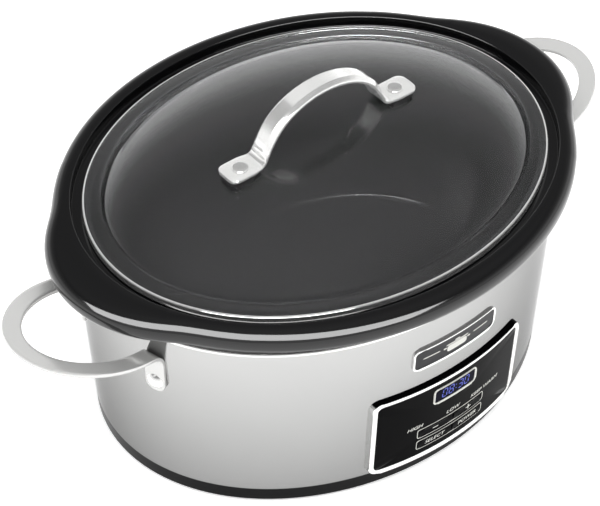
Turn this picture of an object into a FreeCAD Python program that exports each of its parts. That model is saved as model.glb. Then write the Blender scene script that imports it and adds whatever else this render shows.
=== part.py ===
import FreeCAD, Part
import math
import os
import re
from dataclasses import dataclass

import Sketcher
from FreeCAD import Placement, Rotation, Vector

os.makedirs("parts", exist_ok=True)
doc = FreeCAD.newDocument("SlowCooker")

# Slow cooker. Origin: table, centre of the oval. +X along the long axis, -Y the control panel,
# +Z up. All sizes in millimetres and degrees.
SIZES = [
    ("base_half_x", 161.0, "housing half-length at the table"),
    ("base_half_y", 129.0, "housing half-width at the table"),
    ("top_half_x", 166.5, "housing half-length at its top edge"),
    ("top_half_y", 135.5, "housing half-width at its top edge"),
    ("wall_low", 12.2, "lower edge of the steel wall"),
    ("wall_high", 139.0, "upper edge of the steel wall"),
    ("sheet_gauge", 1.0, "steel sheet thickness"),
    ("bead_radius", 1.7, "rolled bead round the top edge"),
    ("tray_low", 2.0, "underside of the base tray"),
    ("tray_floor", 6.0, "inside floor of the base tray"),
    ("tray_high", 12.0, "rim of the base tray"),
    ("foot_radius", 11.0, "rubber foot"),
    ("foot_height", 4.0, "rubber foot"),
    ("foot_x", 105.0, "rubber foot position"),
    ("foot_y", 70.0, "rubber foot position"),
    ("post_x", 70.0, "liner post position"),
    ("post_y", 62.0, "liner post position"),
    ("post_radius", 4.5, "liner post"),
    ("screw_radius", 1.75, "base screw shank"),
    ("screw_head", 3.3, "base screw head radius"),
    ("well_floor", 28.0, "underside of the heating well"),
    ("well_floor_half_x", 132.0, "well half-length at its floor, outside"),
    ("well_floor_half_y", 101.0, "well half-width at its floor, outside"),
    ("well_top_half_x", 160.5, "well half-length at its top, outside"),
    ("well_top_half_y", 129.5, "well half-width at its top, outside"),
    ("well_rim", 140.6, "top face of the well rim"),
    ("band_low", 45.0, "heater band lower edge"),
    ("band_high", 95.0, "heater band upper edge"),
    ("band_gauge", 2.0, "heater band thickness"),
    ("shield_height", 20.6, "heat shield underside"),
    ("pot_floor", 34.0, "underside of the crock"),
    ("pot_floor_half_x", 125.5, "crock half-length at its foot"),
    ("pot_floor_half_y", 94.5, "crock half-width at its foot"),
    ("pot_top_half_x", 154.5, "crock half-length under its shoulder"),
    ("pot_top_half_y", 123.5, "crock half-width under its shoulder"),
    ("pot_wall", 6.5, "crock wall thickness"),
    ("pot_base", 8.0, "crock floor thickness"),
    ("pot_foot_round", 16.0, "round between the crock wall and floor"),
    ("shoulder_low", 141.0, "crock shoulder resting face"),
    ("shoulder_half_x", 166.0, "crock shoulder half-length"),
    ("shoulder_half_y", 134.0, "crock shoulder half-width"),
    ("flange_low", 150.0, "lower edge of the crock flange"),
    ("flange_high", 165.2, "flat top of the crock flange"),
    ("flange_half_x", 175.3, "flange half-length between the ears"),
    ("flange_half_y", 148.5, "flange half-width"),
    ("flange_lip", 8.5, "down-turned lip of the flange"),
    ("flange_web", 153.6, "underside of the flange inside its lip"),
    ("ear_radius", 81.4, "plan radius of each ear"),
    ("ear_centre", 109.2, "plan centre of each ear"),
    ("edge_round", 5.0, "round on the flange edges"),
    ("seat_height", 157.6, "ledge the lid sits on"),
    ("seat_half_x", 165.0, "lid recess half-length"),
    ("seat_half_y", 135.5, "lid recess half-width"),
    ("rim_half_x", 158.1, "lid rim half-length"),
    ("rim_half_y", 128.6, "lid rim half-width"),
    ("rim_low", 157.9, "lid rim lower edge"),
    ("rim_high", 162.8, "lid rim upper edge"),
    ("rim_width", 5.0, "lid rim band width"),
    ("rim_gauge", 0.8, "lid rim steel thickness"),
    ("glass_low", 158.8, "underside of the glass ledge"),
    ("glass_ledge", 162.0, "top of the glass ledge"),
    ("dome_centre", 150.0, "height of the dome's centre"),
    ("dome_rise", 38.5, "dome semi-axis upwards"),
    ("dome_half_x", 153.9, "dome semi-axis lengthways"),
    ("dome_half_y", 122.9, "dome semi-axis crossways"),
    ("glass_gauge", 4.0, "glass thickness"),
    ("grip_foot", 187.6, "underside of the lid handle's feet"),
    ("grip_gauge", 2.4, "lid handle strap thickness"),
    ("grip_half_x", 48.2, "lid handle arch, half span outside"),
    ("grip_rise", 39.2, "lid handle arch, rise outside"),
    ("grip_width", 15.0, "lid handle strap width"),
    ("foot_width", 19.0, "lid handle foot width"),
    ("foot_end", 74.0, "outer end of each lid handle foot"),
    ("grip_rivet_x", 62.0, "lid handle rivet position"),
    ("grip_rivet_radius", 3.0, "lid handle rivet shank"),
    ("grip_head_radius", 5.2, "lid handle rivet head"),
    ("loop_centre", 175.7, "side handle oval centre in plan"),
    ("loop_half_x", 56.9, "side handle oval half-length"),
    ("loop_half_y", 48.0, "side handle oval half-width"),
    ("loop_width", 11.6, "side handle strap width"),
    ("loop_gauge", 2.6, "side handle strap thickness"),
    ("loop_pivot", 165.6, "where the side handle height is measured"),
    ("loop_height", 125.4, "side handle height there"),
    ("loop_tilt", 12.1, "side handle upward tilt"),
    ("tab_x", 157.8, "side handle tab position"),
    ("tab_y", 39.0, "side handle tab position"),
    ("tab_turn", 20.8, "side handle tab direction"),
    ("tab_width", 14.0, "side handle tab width"),
    ("tab_round", 5.0, "side handle tab corner radius"),
    ("tab_drop", 92.0, "lower end of the side handle tab"),
    ("tab_rivet", 100.0, "height of the side handle rivets"),
    ("tab_head", 5.6, "side handle rivet head radius"),
    ("tab_shank", 2.5, "side handle rivet shank radius"),
    ("panel_width", 122.4, "control bezel width"),
    ("panel_low", 14.9, "control bezel lower edge"),
    ("panel_high", 82.4, "control bezel upper edge"),
    ("panel_round", 7.0, "control bezel corner radius"),
    ("bezel_width", 3.4, "control bezel border"),
    ("bezel_proud", 4.4, "control bezel height off the wall"),
    ("face_proud", 3.8, "panel face height off the wall"),
    ("window_width", 108.0, "opening in the wall behind the panel"),
    ("window_low", 20.5, "lower edge of that opening"),
    ("window_high", 76.5, "upper edge of that opening"),
    ("lcd_width", 35.4, "display frame width"),
    ("lcd_height", 14.0, "display frame height"),
    ("lcd_centre", 67.0, "display centre height"),
    ("lcd_border", 1.4, "display frame border"),
    ("strip_width", 55.6, "key strip width"),
    ("strip_height", 8.2, "key strip height"),
    ("upper_strip", 37.8, "upper key strip centre height"),
    ("lower_strip", 27.0, "lower key strip centre height"),
    ("outline_gauge", 0.6, "line width round each key strip"),
    ("key_travel", 0.4, "key travel"),
    ("badge_width", 67.4, "badge width"),
    ("badge_low", 97.0, "badge lower edge"),
    ("badge_high", 115.2, "badge upper edge"),
    ("badge_round", 4.5, "badge corner radius"),
    ("gland_height", 24.0, "mains gland height"),
    ("gland_radius", 6.0, "mains gland hole radius in the wall"),
    ("cord_radius", 3.6, "passage through the gland"),
]
ALIASES = {alias for alias, _, _ in SIZES}

sheet = doc.addObject("Spreadsheet::Sheet", "Sizes")
for row, (alias, value, note) in enumerate(SIZES, 1):
    sheet.set(f"A{row}", alias)
    sheet.set(f"B{row}", str(value))
    sheet.set(f"C{row}", note)
    sheet.setAlias(f"B{row}", alias)
doc.recompute()

NODES = []


def size(alias):
    """Value of one driving dimension."""
    return float(getattr(sheet, alias))


def ex(text):
    """Expression text with every driving dimension named in full."""
    return re.sub(r"[a-z][a-z_0-9]*", lambda m: "Sizes." + m[0] if m[0] in ALIASES else m[0], str(text))


def bind(item, **pairs):
    """Bind properties to expressions; double underscores stand for dots."""
    for name, text in pairs.items():
        item.setExpression(name.replace("__", "."), ex(text))
    return item


def move(item, x="0", y="0", z="0"):
    return bind(item, Placement__Base__x=x, Placement__Base__y=y, Placement__Base__z=z)


def node(item, label):
    """Name a finished sub-part."""
    item.Label = label
    NODES.append(item)
    return item


def box(name, length, width, height, x, y, z):
    """Block with its low corner at x, y, z."""
    item = bind(doc.addObject("Part::Box", name), Length=length, Width=width, Height=height)
    return move(item, x, y, z)


def centred_box(name, length, width, height, x, y, z):
    """Block centred on x, y with its underside at z."""
    return box(name, length, width, height, f"({x}) - ({length}) / 2", f"({y}) - ({width}) / 2", z)


def rod(name, radius, length, x, y, z, turn=None):
    """Cylinder from x, y, z along +Z, or along the turned axis."""
    item = bind(doc.addObject("Part::Cylinder", name), Radius=radius, Height=length)
    if turn is not None:
        item.Placement.Rotation = turn
    return move(item, x, y, z)


def ball(name, radius, x, y, z):
    return move(bind(doc.addObject("Part::Sphere", name), Radius=radius), x, y, z)


def oval(name, half_x, half_y, z):
    item = bind(doc.addObject("Part::Ellipse", name), MajorRadius=half_x, MinorRadius=half_y)
    return move(item, z=z)


def loft(name, *sections):
    item = doc.addObject("Part::Loft", name)
    item.Sections = list(sections)
    item.Solid = True
    item.Ruled = True
    return item


def prism(name, half_x, half_y, low, high):
    """Upright oval block."""
    return loft(name, oval(name + "_low", half_x, half_y, low), oval(name + "_high", half_x, half_y, high))


def cut(name, base, tool):
    item = doc.addObject("Part::Cut", name)
    item.Base, item.Tool = base, tool
    return item


def common(name, first, second):
    item = doc.addObject("Part::MultiCommon", name)
    item.Shapes = [first, second]
    return item


def fuse(name, *pieces):
    item = doc.addObject("Part::MultiFuse", name)
    item.Shapes = list(pieces)
    return item


def group(name, *pieces):
    """Several separate solids kept as one sub-part."""
    item = doc.addObject("Part::Compound", name)
    item.Links = list(pieces)
    return item


def rounded(name, base, radius, wanted):
    """Fillet the edges that the test picks out."""
    doc.recompute()
    item = doc.addObject("Part::Fillet", name)
    item.Base = base
    edges = [i for i, edge in enumerate(base.Shape.Edges, 1) if wanted(edge)]
    item.Edges = [(i, size(radius), size(radius)) for i in edges]
    return item


def level_edge(height):
    """Test for edges lying flat at a height."""
    return lambda edge: abs(edge.BoundBox.ZMin - height) < 0.01 and abs(edge.BoundBox.ZMax - height) < 0.01


def mirrored(name, source, normal):
    item = doc.addObject("Part::Mirroring", name)
    item.Source, item.Normal, item.Base = source, normal, Vector(0, 0, 0)
    return item


@dataclass
class OvalTaper:
    """Oval that widens evenly from one height to another."""

    low_x: str
    low_y: str
    high_x: str
    high_y: str
    low_z: str
    high_z: str

    def half(self, axis, z, grow="0"):
        low, high = (self.low_x, self.high_x) if axis == "x" else (self.low_y, self.high_y)
        share = f"(({z}) - {self.low_z}) / ({self.high_z} - {self.low_z})"
        return f"{low} + ({high} - {low}) * {share} + ({grow})"

    def solid(self, name, low, high, grow="0"):
        ends = [oval(f"{name}_{word}", self.half("x", z, grow), self.half("y", z, grow), z)
                for word, z in (("low", low), ("high", high))]
        return loft(name, *ends)

    def ring(self, name, low, high, outer, inner):
        """Wall between two offsets of the taper."""
        hollow = self.solid(name + "_in", f"({low}) - 1", f"({high}) + 1", inner)
        return cut(name, self.solid(name + "_out", low, high, outer), hollow)


WALL = OvalTaper("base_half_x", "base_half_y", "top_half_x", "top_half_y", "0", "wall_high")
WELL = OvalTaper("well_floor_half_x", "well_floor_half_y", "well_top_half_x", "well_top_half_y",
                 "well_floor", "wall_high")
POT = OvalTaper("pot_floor_half_x", "pot_floor_half_y", "pot_top_half_x", "pot_top_half_y",
                "pot_floor", "shoulder_low")
TO_FRONT = Rotation(Vector(1, 0, 0), 90)
TO_BACK = Rotation(Vector(1, 0, 0), -90)
TO_RIGHT = Rotation(Vector(0, 1, 0), 90)


def plate_sketch(name, width, height, radius, x, z):
    """Rounded rectangle in an upright plane, centred on x, z."""
    w, h, r = 20.0, 10.0, 2.0
    sketch = doc.addObject("Sketcher::SketchObject", name)
    sketch.Placement = Placement(Vector(0, 0, 0), TO_FRONT)
    corners = [(w - r, -h + r, -90), (w - r, h - r, 0), (-w + r, h - r, 90), (-w + r, -h + r, 180)]
    for cx, cy, start in corners:
        circle = Part.Circle(Vector(cx, cy, 0), Vector(0, 0, 1), r)
        sketch.addGeometry(Part.ArcOfCircle(circle, math.radians(start), math.radians(start + 90)))
    ends = [((w, -h + r), (w, h - r)), ((w - r, h), (-w + r, h)),
            ((-w, h - r), (-w, -h + r)), ((-w + r, -h), (w - r, -h))]
    for (ax, ay), (bx, by) in ends:
        sketch.addGeometry(Part.LineSegment(Vector(ax, ay, 0), Vector(bx, by, 0)))
    rule = Sketcher.Constraint
    for i in range(4):
        sketch.addConstraint(rule("Tangent", i, 2, 4 + i, 1))
        sketch.addConstraint(rule("Tangent", 4 + i, 2, (i + 1) % 4, 1))
        sketch.addConstraint(rule("Vertical" if i % 2 == 0 else "Horizontal", 4 + i))
    for i in range(1, 4):
        sketch.addConstraint(rule("Equal", 0, i))
    named = [("radius", rule("Radius", 0, r), radius),
             ("right", rule("DistanceX", -1, 1, 4, 1, w), f"({x}) + ({width}) / 2"),
             ("wide", rule("DistanceX", 6, 1, 4, 1, 2 * w), width),
             ("top", rule("DistanceY", -1, 1, 5, 1, h), f"({z}) + ({height}) / 2"),
             ("tall", rule("DistanceY", 7, 1, 5, 1, 2 * h), height)]
    for label, constraint, text in named:
        index = sketch.addConstraint(constraint)
        sketch.renameConstraint(index, label)
        sketch.setExpression("Constraints." + label, ex(text))
    return sketch


def front_block(name, width, height, radius, z, x="0"):
    """Rounded block that reaches forward from the middle of the cooker."""
    item = doc.addObject("Part::Extrusion", name)
    item.Base = plate_sketch(name + "_sketch", width, height, radius, x, z)
    item.DirMode = "Custom"
    item.Dir = Vector(0, -1, 0)
    item.Solid = True
    return bind(item, LengthFwd="base_half_y + 40")


def on_wall(name, block, low, high, outer, inner):
    """The part of a front block between two offsets of the housing wall."""
    return common(name, WALL.ring(name + "_shell", low, high, outer, inner), block)


# ---- housing wall, its bead, and the openings through it ----
PANEL_MID = "(panel_low + panel_high) / 2"
PANEL_TALL = "panel_high - panel_low"
WINDOW_MID = "(window_low + window_high) / 2"

wall = WALL.ring("wall_ring", "wall_low", "wall_high", "0", "-sheet_gauge")
bead_path = oval("bead_path", "top_half_x - sheet_gauge / 2", "top_half_y - sheet_gauge / 2", "wall_high")
bead_section = bind(doc.addObject("Part::Circle", "bead_section"), Radius="bead_radius")
bead_section.Placement.Rotation = TO_FRONT
move(bead_section, "top_half_x - sheet_gauge / 2", "0", "wall_high")
bead = doc.addObject("Part::Sweep", "bead")
bead.Sections = [bead_section]
bead.Spine = (bead_path, ["Edge1"])
bead.Solid = True
bead.Frenet = True

window = front_block("window", "window_width", "window_high - window_low", "4", WINDOW_MID)
gland_hole = rod("gland_hole", "gland_radius", "60", "0", "base_half_y - 30", "gland_height", TO_BACK)


def around(maker, sides=((1, 1), (1, -1), (-1, 1), (-1, -1))):
    """Repeat a piece in the four quarters."""
    return [maker(i, sx, sy) for i, (sx, sy) in enumerate(sides, 1)]


def tab_axis(sx, sy):
    """Outward direction of the wall at a side handle tab, in degrees from +X."""
    angle = size("tab_turn") * sy
    return angle if sx > 0 else 180 - angle


def tab_rod(name, radius, start, length, sx, sy):
    """Cylinder along a rivet's axis, from an offset inward or outward of the wall."""
    angle = tab_axis(sx, sy)
    across = Rotation(Vector(0, 0, 1), angle) * TO_RIGHT
    turn_x, turn_y = math.cos(math.radians(angle)), math.sin(math.radians(angle))
    return rod(name, radius, length, f"{sx} * tab_x + ({start}) * {turn_x}",
               f"{sy} * tab_y + ({start}) * {turn_y}", "tab_rivet", across)


rivet_holes = around(lambda i, sx, sy: tab_rod(f"rivet_hole_{i}", "tab_shank + 0.1", "-14", "34", sx, sy))
shell = cut("shell_open", fuse("shell_solid", wall, bead),
            fuse("shell_tools", window, gland_hole, *rivet_holes))
node(shell, "housing_shell")

# ---- heating well, its rim and posts ----
well_skin = WELL.solid("well_skin", "well_floor", "wall_high")
well_hollow = WELL.solid("well_hollow", "well_floor + sheet_gauge", "wall_high + 1", "-sheet_gauge")
well_rim = cut("well_rim_ring",
               prism("well_rim_out", "top_half_x - 2.6", "top_half_y - 2.6", "well_rim - 0.8", "well_rim"),
               prism("well_rim_in", "well_top_half_x - sheet_gauge", "well_top_half_y - sheet_gauge",
                     "well_rim - 2", "well_rim + 1"))
well_neck = cut("well_neck",
                prism("well_neck_out", "well_top_half_x", "well_top_half_y", "wall_high - 0.5",
                      "well_rim - 0.4"),
                prism("well_neck_in", "well_top_half_x - sheet_gauge", "well_top_half_y - sheet_gauge",
                      "wall_high - 2", "well_rim + 1"))
well_cup = cut("well_cup", well_skin, well_hollow)
sensor_hole = rod("sensor_hole", "9.2", "10", "0", "0", "well_floor - 4")
node(cut("well", fuse("well_solid", well_cup, well_rim, well_neck), sensor_hole), "inner_liner")

posts = around(lambda i, sx, sy: cut(
    f"post_{i}",
    rod(f"post_out_{i}", "post_radius", "well_floor - tray_floor", f"{sx} * post_x", f"{sy} * post_y",
        "tray_floor"),
    rod(f"post_in_{i}", "screw_radius", "16", f"{sx} * post_x", f"{sy} * post_y", "tray_floor - 1")))
node(group("posts", *posts), "liner_posts")

# ---- heater band and the hooks that close it ----
band = WELL.ring("band_ring", "band_low", "band_high", "band_gauge + 0.2", "0.2")
band_gap = box("band_gap", "14", "40", "80", "-7", "well_floor_half_y - 10", "band_low - 10")
node(cut("band", band, band_gap), "heater_band")
hook_rows = [("low", "band_low + 12"), ("high", "band_high - 12")]
hooks = []
for word, height in hook_rows:
    strap = WELL.ring(f"hook_ring_{word}", f"{height} - 2.5", f"{height} + 2.5", "band_gauge + 1.1",
                      "band_gauge + 0.3")
    span = box(f"hook_span_{word}", "40", "60", "8", "-20", "well_floor_half_y - 20", f"{height} - 4")
    hooks.append(common(f"hook_{word}", strap, span))
node(group("hooks", *hooks), "band_clips")

# ---- base tray, feet and screws ----
tray_solid = WALL.solid("tray_solid", "tray_low", "tray_high", "0")
tray_pocket = WALL.solid("tray_pocket", "tray_floor", "tray_high + 1", "-3")
foot_pits = around(lambda i, sx, sy: rod(f"foot_pit_{i}", "foot_radius + 0.2", "3",
                                         f"{sx} * foot_x", f"{sy} * foot_y", "tray_low - 1"))
head_pits = around(lambda i, sx, sy: rod(f"head_pit_{i}", "screw_head + 0.2", "3",
                                         f"{sx} * post_x", f"{sy} * post_y", "tray_low - 1"))
shank_pits = around(lambda i, sx, sy: rod(f"shank_pit_{i}", "screw_radius + 0.15", "12",
                                          f"{sx} * post_x", f"{sy} * post_y", "tray_low - 1"))
VENT_ROWS = 4
vents = [centred_box(f"vent_{word}_{k}", "60", "4", "12", "0", f"{side} * (34 + {8 * k})", "tray_low - 1")
         for word, side in (("front", -1), ("back", 1)) for k in range(VENT_ROWS)]
boss_spots = [(x, y) for x in (42, 90) for y in (-18, 18)]
bosses = [rod(f"board_boss_{i}", "2.6", "3", str(x), str(y), "tray_floor")
          for i, (x, y) in enumerate(boss_spots, 1)]
tray_bottomless = cut("tray_hollow", tray_solid, tray_pocket)
tray_cut = cut("tray_cut", tray_bottomless,
               fuse("tray_tools", *foot_pits, *head_pits, *shank_pits, *vents))
node(fuse("tray", tray_cut, *bosses), "base_tray")
feet = around(lambda i, sx, sy: rod(f"foot_{i}", "foot_radius", "foot_height",
                                    f"{sx} * foot_x", f"{sy} * foot_y", "0"))
node(group("feet", *feet), "rubber_feet")
screws = around(lambda i, sx, sy: fuse(
    f"screw_{i}",
    rod(f"screw_head_{i}", "screw_head", "1.8", f"{sx} * post_x", f"{sy} * post_y", "tray_low + 0.2"),
    rod(f"screw_shank_{i}", "screw_radius", "16", f"{sx} * post_x", f"{sy} * post_y", "tray_low + 1")))
node(group("screws", *screws), "base_screws")

# ---- heat shield and the temperature sensor under the well ----
shield_plate = prism("shield_plate", "well_floor_half_x - 4", "well_floor_half_y - 4", "shield_height",
                     "shield_height + 0.8")
shield_holes = around(lambda i, sx, sy: rod(f"shield_hole_{i}", "post_radius + 0.4", "6",
                                            f"{sx} * post_x", f"{sy} * post_y", "shield_height - 2"))
shield_eye = rod("shield_eye", "33", "6", "0", "0", "shield_height - 2")
node(cut("shield", shield_plate, fuse("shield_tools", shield_eye, *shield_holes)), "heat_shield")

sensor = fuse("sensor",
              rod("sensor_button", "8.6", "pot_floor - 0.3 - 24.5", "0", "0", "24.5"),
              rod("sensor_flange", "11", "1.2", "0", "0", "24.5"))
node(sensor, "temperature_sensor")
bridge = fuse("bridge_solid",
              centred_box("bridge_floor", "56", "16", "1.2", "0", "0", "11"),
              centred_box("bridge_leg_a", "1.2", "16", "well_floor - 11", "-27.4", "0", "11"),
              centred_box("bridge_leg_b", "1.2", "16", "well_floor - 11", "27.4", "0", "11"))
node(bridge, "sensor_bracket")
coil = doc.addObject("Part::Helix", "coil_path")
bind(coil, Pitch="2.9", Height="24.5 - 12.2 - 1.4", Radius="6")
move(coil, z="12.2 + 0.7")
coil_section = bind(doc.addObject("Part::Circle", "coil_section"), Radius="0.6")
coil_section.Placement.Rotation = TO_FRONT
move(coil_section, "6", "0", "12.2 + 0.7")
spring = doc.addObject("Part::Sweep", "coil")
spring.Sections = [coil_section]
spring.Spine = (coil, ["Edge1"])
spring.Solid = True
spring.Frenet = True
node(spring, "sensor_spring")

# ---- thermal fuse clipped between the well floor and the shield ----
node(rod("fuse", "2.0", "11", "54", "-30", "well_floor - 3.4", TO_RIGHT), "thermal_fuse")
node(cut("fuse_clip",
         centred_box("fuse_clip_block", "6", "6.4", "well_floor - shield_height - 0.9", "59.5", "-30",
                     "shield_height + 0.9"),
         rod("fuse_clip_bore", "2.0", "14", "52", "-30", "well_floor - 3.4", TO_RIGHT)), "fuse_clip")

# ---- power electronics in the tray ----
BOARD_Z = "tray_floor + 3"
node(box("power_board_plate", "60", "48", "1.6", "36", "-24", BOARD_Z), "power_board")
node(box("relay_block", "19", "15", "9", "40", "4", "tray_floor + 4.6"), "relay")
core = box("core_block", "24", "20", "8", "66", "-21", "tray_floor + 4.6")
winding = centred_box("winding_block", "15", "20.8", "9.4", "78", "-11", "tray_floor + 4.6")
node(fuse("supply_transformer", core, winding), "transformer")
node(rod("capacitor_can", "4.2", "14", "72", "12", "tray_floor + 8.8", TO_RIGHT), "capacitor")
terminals = [fuse(f"terminal_{i}",
                  centred_box(f"terminal_body_{i}", "10", "9", "8", "-60", str(y), "tray_floor"),
                  rod(f"terminal_screw_{i}", "2", "9", "-60", str(y), "tray_floor"))
             for i, y in enumerate((-12, 0, 12), 1)]
node(group("terminals", *terminals), "terminal_block")

# ---- control panel on the front wall ----
LOW, HIGH = "panel_low - 2", "panel_high + 2"
bezel_outer = front_block("bezel_outer", "panel_width", PANEL_TALL, "panel_round", PANEL_MID)
bezel_inner = front_block("bezel_inner", "panel_width - 2 * bezel_width", f"{PANEL_TALL} - 2 * bezel_width",
                          "panel_round - 2", PANEL_MID)
bezel_skin = on_wall("bezel_skin", bezel_outer, LOW, HIGH, "bezel_proud", "0.1")
bezel = cut("bezel", bezel_skin, bezel_inner)
node(bezel, "control_bezel")

face_block = front_block("face_block", "panel_width - 2 * bezel_width", f"{PANEL_TALL} - 2 * bezel_width",
                         "panel_round - 2", PANEL_MID)
face_skin = on_wall("face_skin", face_block, LOW, HIGH, "face_proud", "0.1")
lcd_hole = front_block("lcd_hole", "lcd_width", "lcd_height", "3", "lcd_centre")
KEY_WIDTH = "(strip_width - 2 * outline_gauge) / 2 - 1.2"
KEY_HEIGHT = "strip_height - 2 * outline_gauge - 0.6"
KEY_X = "strip_width / 4"
KEYS = [("key_minus", -1, "upper_strip"), ("key_plus", 1, "upper_strip"),
        ("key_select", -1, "lower_strip"), ("key_power", 1, "lower_strip")]
key_holes = [front_block(f"{name}_hole", f"{KEY_WIDTH} + 0.6", f"{KEY_HEIGHT} + 0.6", "1.3", strip,
                         f"{side} * {KEY_X}") for name, side, strip in KEYS]
node(cut("face", face_skin, fuse("face_tools", lcd_hole, *key_holes)), "panel_face")

lcd_outer = front_block("lcd_outer", "lcd_width", "lcd_height", "3", "lcd_centre")
lcd_inner = front_block("lcd_inner", "lcd_width - 2 * lcd_border", "lcd_height - 2 * lcd_border", "2",
                        "lcd_centre")
lcd_skin = on_wall("lcd_skin", lcd_outer, LOW, HIGH, "face_proud + 0.5", "0.1")
node(cut("lcd_ring", lcd_skin, lcd_inner), "lcd_frame")
glass_block = front_block("glass_block", "lcd_width - 2 * lcd_border", "lcd_height - 2 * lcd_border", "2",
                          "lcd_centre")
node(on_wall("lcd_pane", glass_block, LOW, HIGH, "face_proud - 0.5", "0.1"), "lcd_window")
node(box("lcd_cell", "30", "4.4", "12", "-15", "-124.4", "lcd_centre - 6"), "lcd_module")

outlines = []
for strip in ("upper_strip", "lower_strip"):
    outer = front_block(f"{strip}_outer", "strip_width", "strip_height", "2", strip)
    inner = front_block(f"{strip}_inner", "strip_width - 2 * outline_gauge",
                        "strip_height - 2 * outline_gauge", "1.5", strip)
    skin = on_wall(f"{strip}_skin", outer, LOW, HIGH, "face_proud + 0.25", "face_proud")
    outlines.append(cut(f"{strip}_line", skin, inner))
node(group("outlines", *outlines), "key_outlines")

STEM_TIP = 120.9
for name, side, strip in KEYS:
    x = f"{side} * {KEY_X}"
    cap = on_wall(f"{name}_cap", front_block(f"{name}_block", KEY_WIDTH, KEY_HEIGHT, "1", strip, x),
                  LOW, HIGH, "face_proud + 0.1", "-1.4")
    flange = on_wall(f"{name}_flange", front_block(f"{name}_plate", f"{KEY_WIDTH} + 0.9",
                                                   "strip_height", "1", strip, x),
                     LOW, HIGH, "-0.3", "-1.4")
    stem = rod(f"{name}_stem", "1.8", f"{WALL.half('y', strip, '-1')} - {STEM_TIP}", x, f"-{STEM_TIP}",
               strip, TO_FRONT)
    node(fuse(f"{name}_solid", cap, flange, stem), name)

BOARD_FRONT = 119.6
domes = [rod(f"{name}_dome", "2.6", "0.8", f"{side} * {KEY_X}", f"-{BOARD_FRONT}", strip, TO_FRONT)
         for name, side, strip in KEYS]
node(group("domes", *domes), "key_domes")
node(box("display_board_plate", "96", "1.6", "58", "-48", f"-{BOARD_FRONT}", "17"), "display_board")
case_outer = common("case_outer", WALL.solid("case_limit", "tray_high + 1", "panel_high + 2",
                                             "-sheet_gauge - 0.3"),
                    box("case_block", "112", "23.4", "63.5", "-56", "-140", "14"))
case_inner = box("case_hollow", "109", "29.7", "60.5", "-54.5", "-147.5", "15.5")
node(cut("case", case_outer, case_inner), "control_case")

# ---- badge above the panel ----
BADGE_MID, BADGE_TALL = "(badge_low + badge_high) / 2", "badge_high - badge_low"
badge_block = front_block("badge_block", "badge_width", BADGE_TALL, "badge_round", BADGE_MID)
badge_inner = front_block("badge_inner", "badge_width - 3", f"{BADGE_TALL} - 3", "badge_round - 1.5",
                          BADGE_MID)
B_LOW, B_HIGH = "badge_low - 2", "badge_high + 2"
node(cut("badge_ring", on_wall("badge_skin", badge_block, B_LOW, B_HIGH, "1.2", "0.1"), badge_inner),
     "badge_frame")
badge_fill = front_block("badge_fill", "badge_width - 3", f"{BADGE_TALL} - 3", "badge_round - 1.5",
                         BADGE_MID)
node(on_wall("badge_core", badge_fill, B_LOW, B_HIGH, "0.8", "0.1"), "badge_plate")

# ---- mains gland at the rear, the passage empty ----
GLAND_Y = WALL.half("y", "gland_height")
gland_out = rod("gland_flange", "gland_radius + 3", "4.5", "0", f"{GLAND_Y} + 0.3", "gland_height", TO_BACK)
gland_neck = rod("gland_neck", "gland_radius - 0.2", "16", "0", f"{GLAND_Y} - 12", "gland_height", TO_BACK)
gland_bore = rod("gland_bore", "cord_radius", "40", "0", f"{GLAND_Y} - 20", "gland_height", TO_BACK)
node(cut("gland", fuse("gland_solid", gland_out, gland_neck), gland_bore), "cord_gland")
nut_body = doc.addObject("Part::Prism", "nut_body")
bind(nut_body, Circumradius="gland_radius + 4", Height="4")
nut_body.Polygon = 6
nut_body.Placement.Rotation = TO_BACK
move(nut_body, "0", f"{GLAND_Y} - 8", "gland_height")
nut_bore = rod("nut_bore", "gland_radius - 0.2", "10", "0", f"{GLAND_Y} - 12", "gland_height", TO_BACK)
node(cut("gland_ring", nut_body, nut_bore), "gland_nut")

# ---- side handles: tilted strap loops with riveted tabs ----
TILT = Rotation(Vector(0, 1, 0), -size("loop_tilt"))


def strap_oval(name, shrink):
    """Oval block in the strap's own plane, measured from its pivot."""
    path = oval(name + "_path", f"loop_half_x - {shrink}", f"loop_half_y - {shrink}", "-5")
    item = doc.addObject("Part::Extrusion", name)
    item.Base = path
    item.DirMode = "Custom"
    item.Dir = Vector(0, 0, 1)
    item.Solid = True
    bind(item, LengthFwd="10")
    return move(item, x="(loop_centre - loop_pivot) / cos(loop_tilt)")


def lower_corner(edge, outward):
    """Test for the two lower corners of a tab, which run outward."""
    span = edge.Vertexes[1].Point - edge.Vertexes[0].Point
    level = abs(edge.BoundBox.ZMax - size("tab_drop")) < 0.01
    return level and abs(span.normalize().dot(outward)) > 0.99


slab = centred_box("slab", "300", "200", "loop_gauge", "0", "0", "-loop_gauge / 2")
strap_flat = common("strap_flat", slab, cut("strap_loop", strap_oval("strap_outer", "0"),
                                            strap_oval("strap_inner", "loop_width")))
strap_flat.Placement.Rotation = TILT
move(strap_flat, "loop_pivot", "0", "loop_height")
tabs, tab_holes = [], []
for word, side in (("front", -1), ("back", 1)):
    plate = bind(doc.addObject("Part::Box", f"tab_{word}"), Length="loop_gauge + 4.1", Width="tab_width",
                 Height="loop_height - tab_drop - 2")
    turn = math.radians(side * size("tab_turn"))
    plate.Placement.Rotation = Rotation(Vector(0, 0, 1), side * size("tab_turn"))
    move(plate, f"tab_x - {4 * math.cos(turn)} + tab_width / 2 * {math.sin(turn)}",
         f"{side} * tab_y - {4 * math.sin(turn)} - tab_width / 2 * {math.cos(turn)}", "tab_drop")
    outward = Vector(math.cos(turn), math.sin(turn), 0)
    tabs.append(rounded(f"tab_soft_{word}", plate, "tab_round", lambda edge: lower_corner(edge, outward)))
    tab_holes.append(tab_rod(f"tab_hole_{word}", "tab_shank + 0.1", "-6", "20", 1, side))
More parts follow.
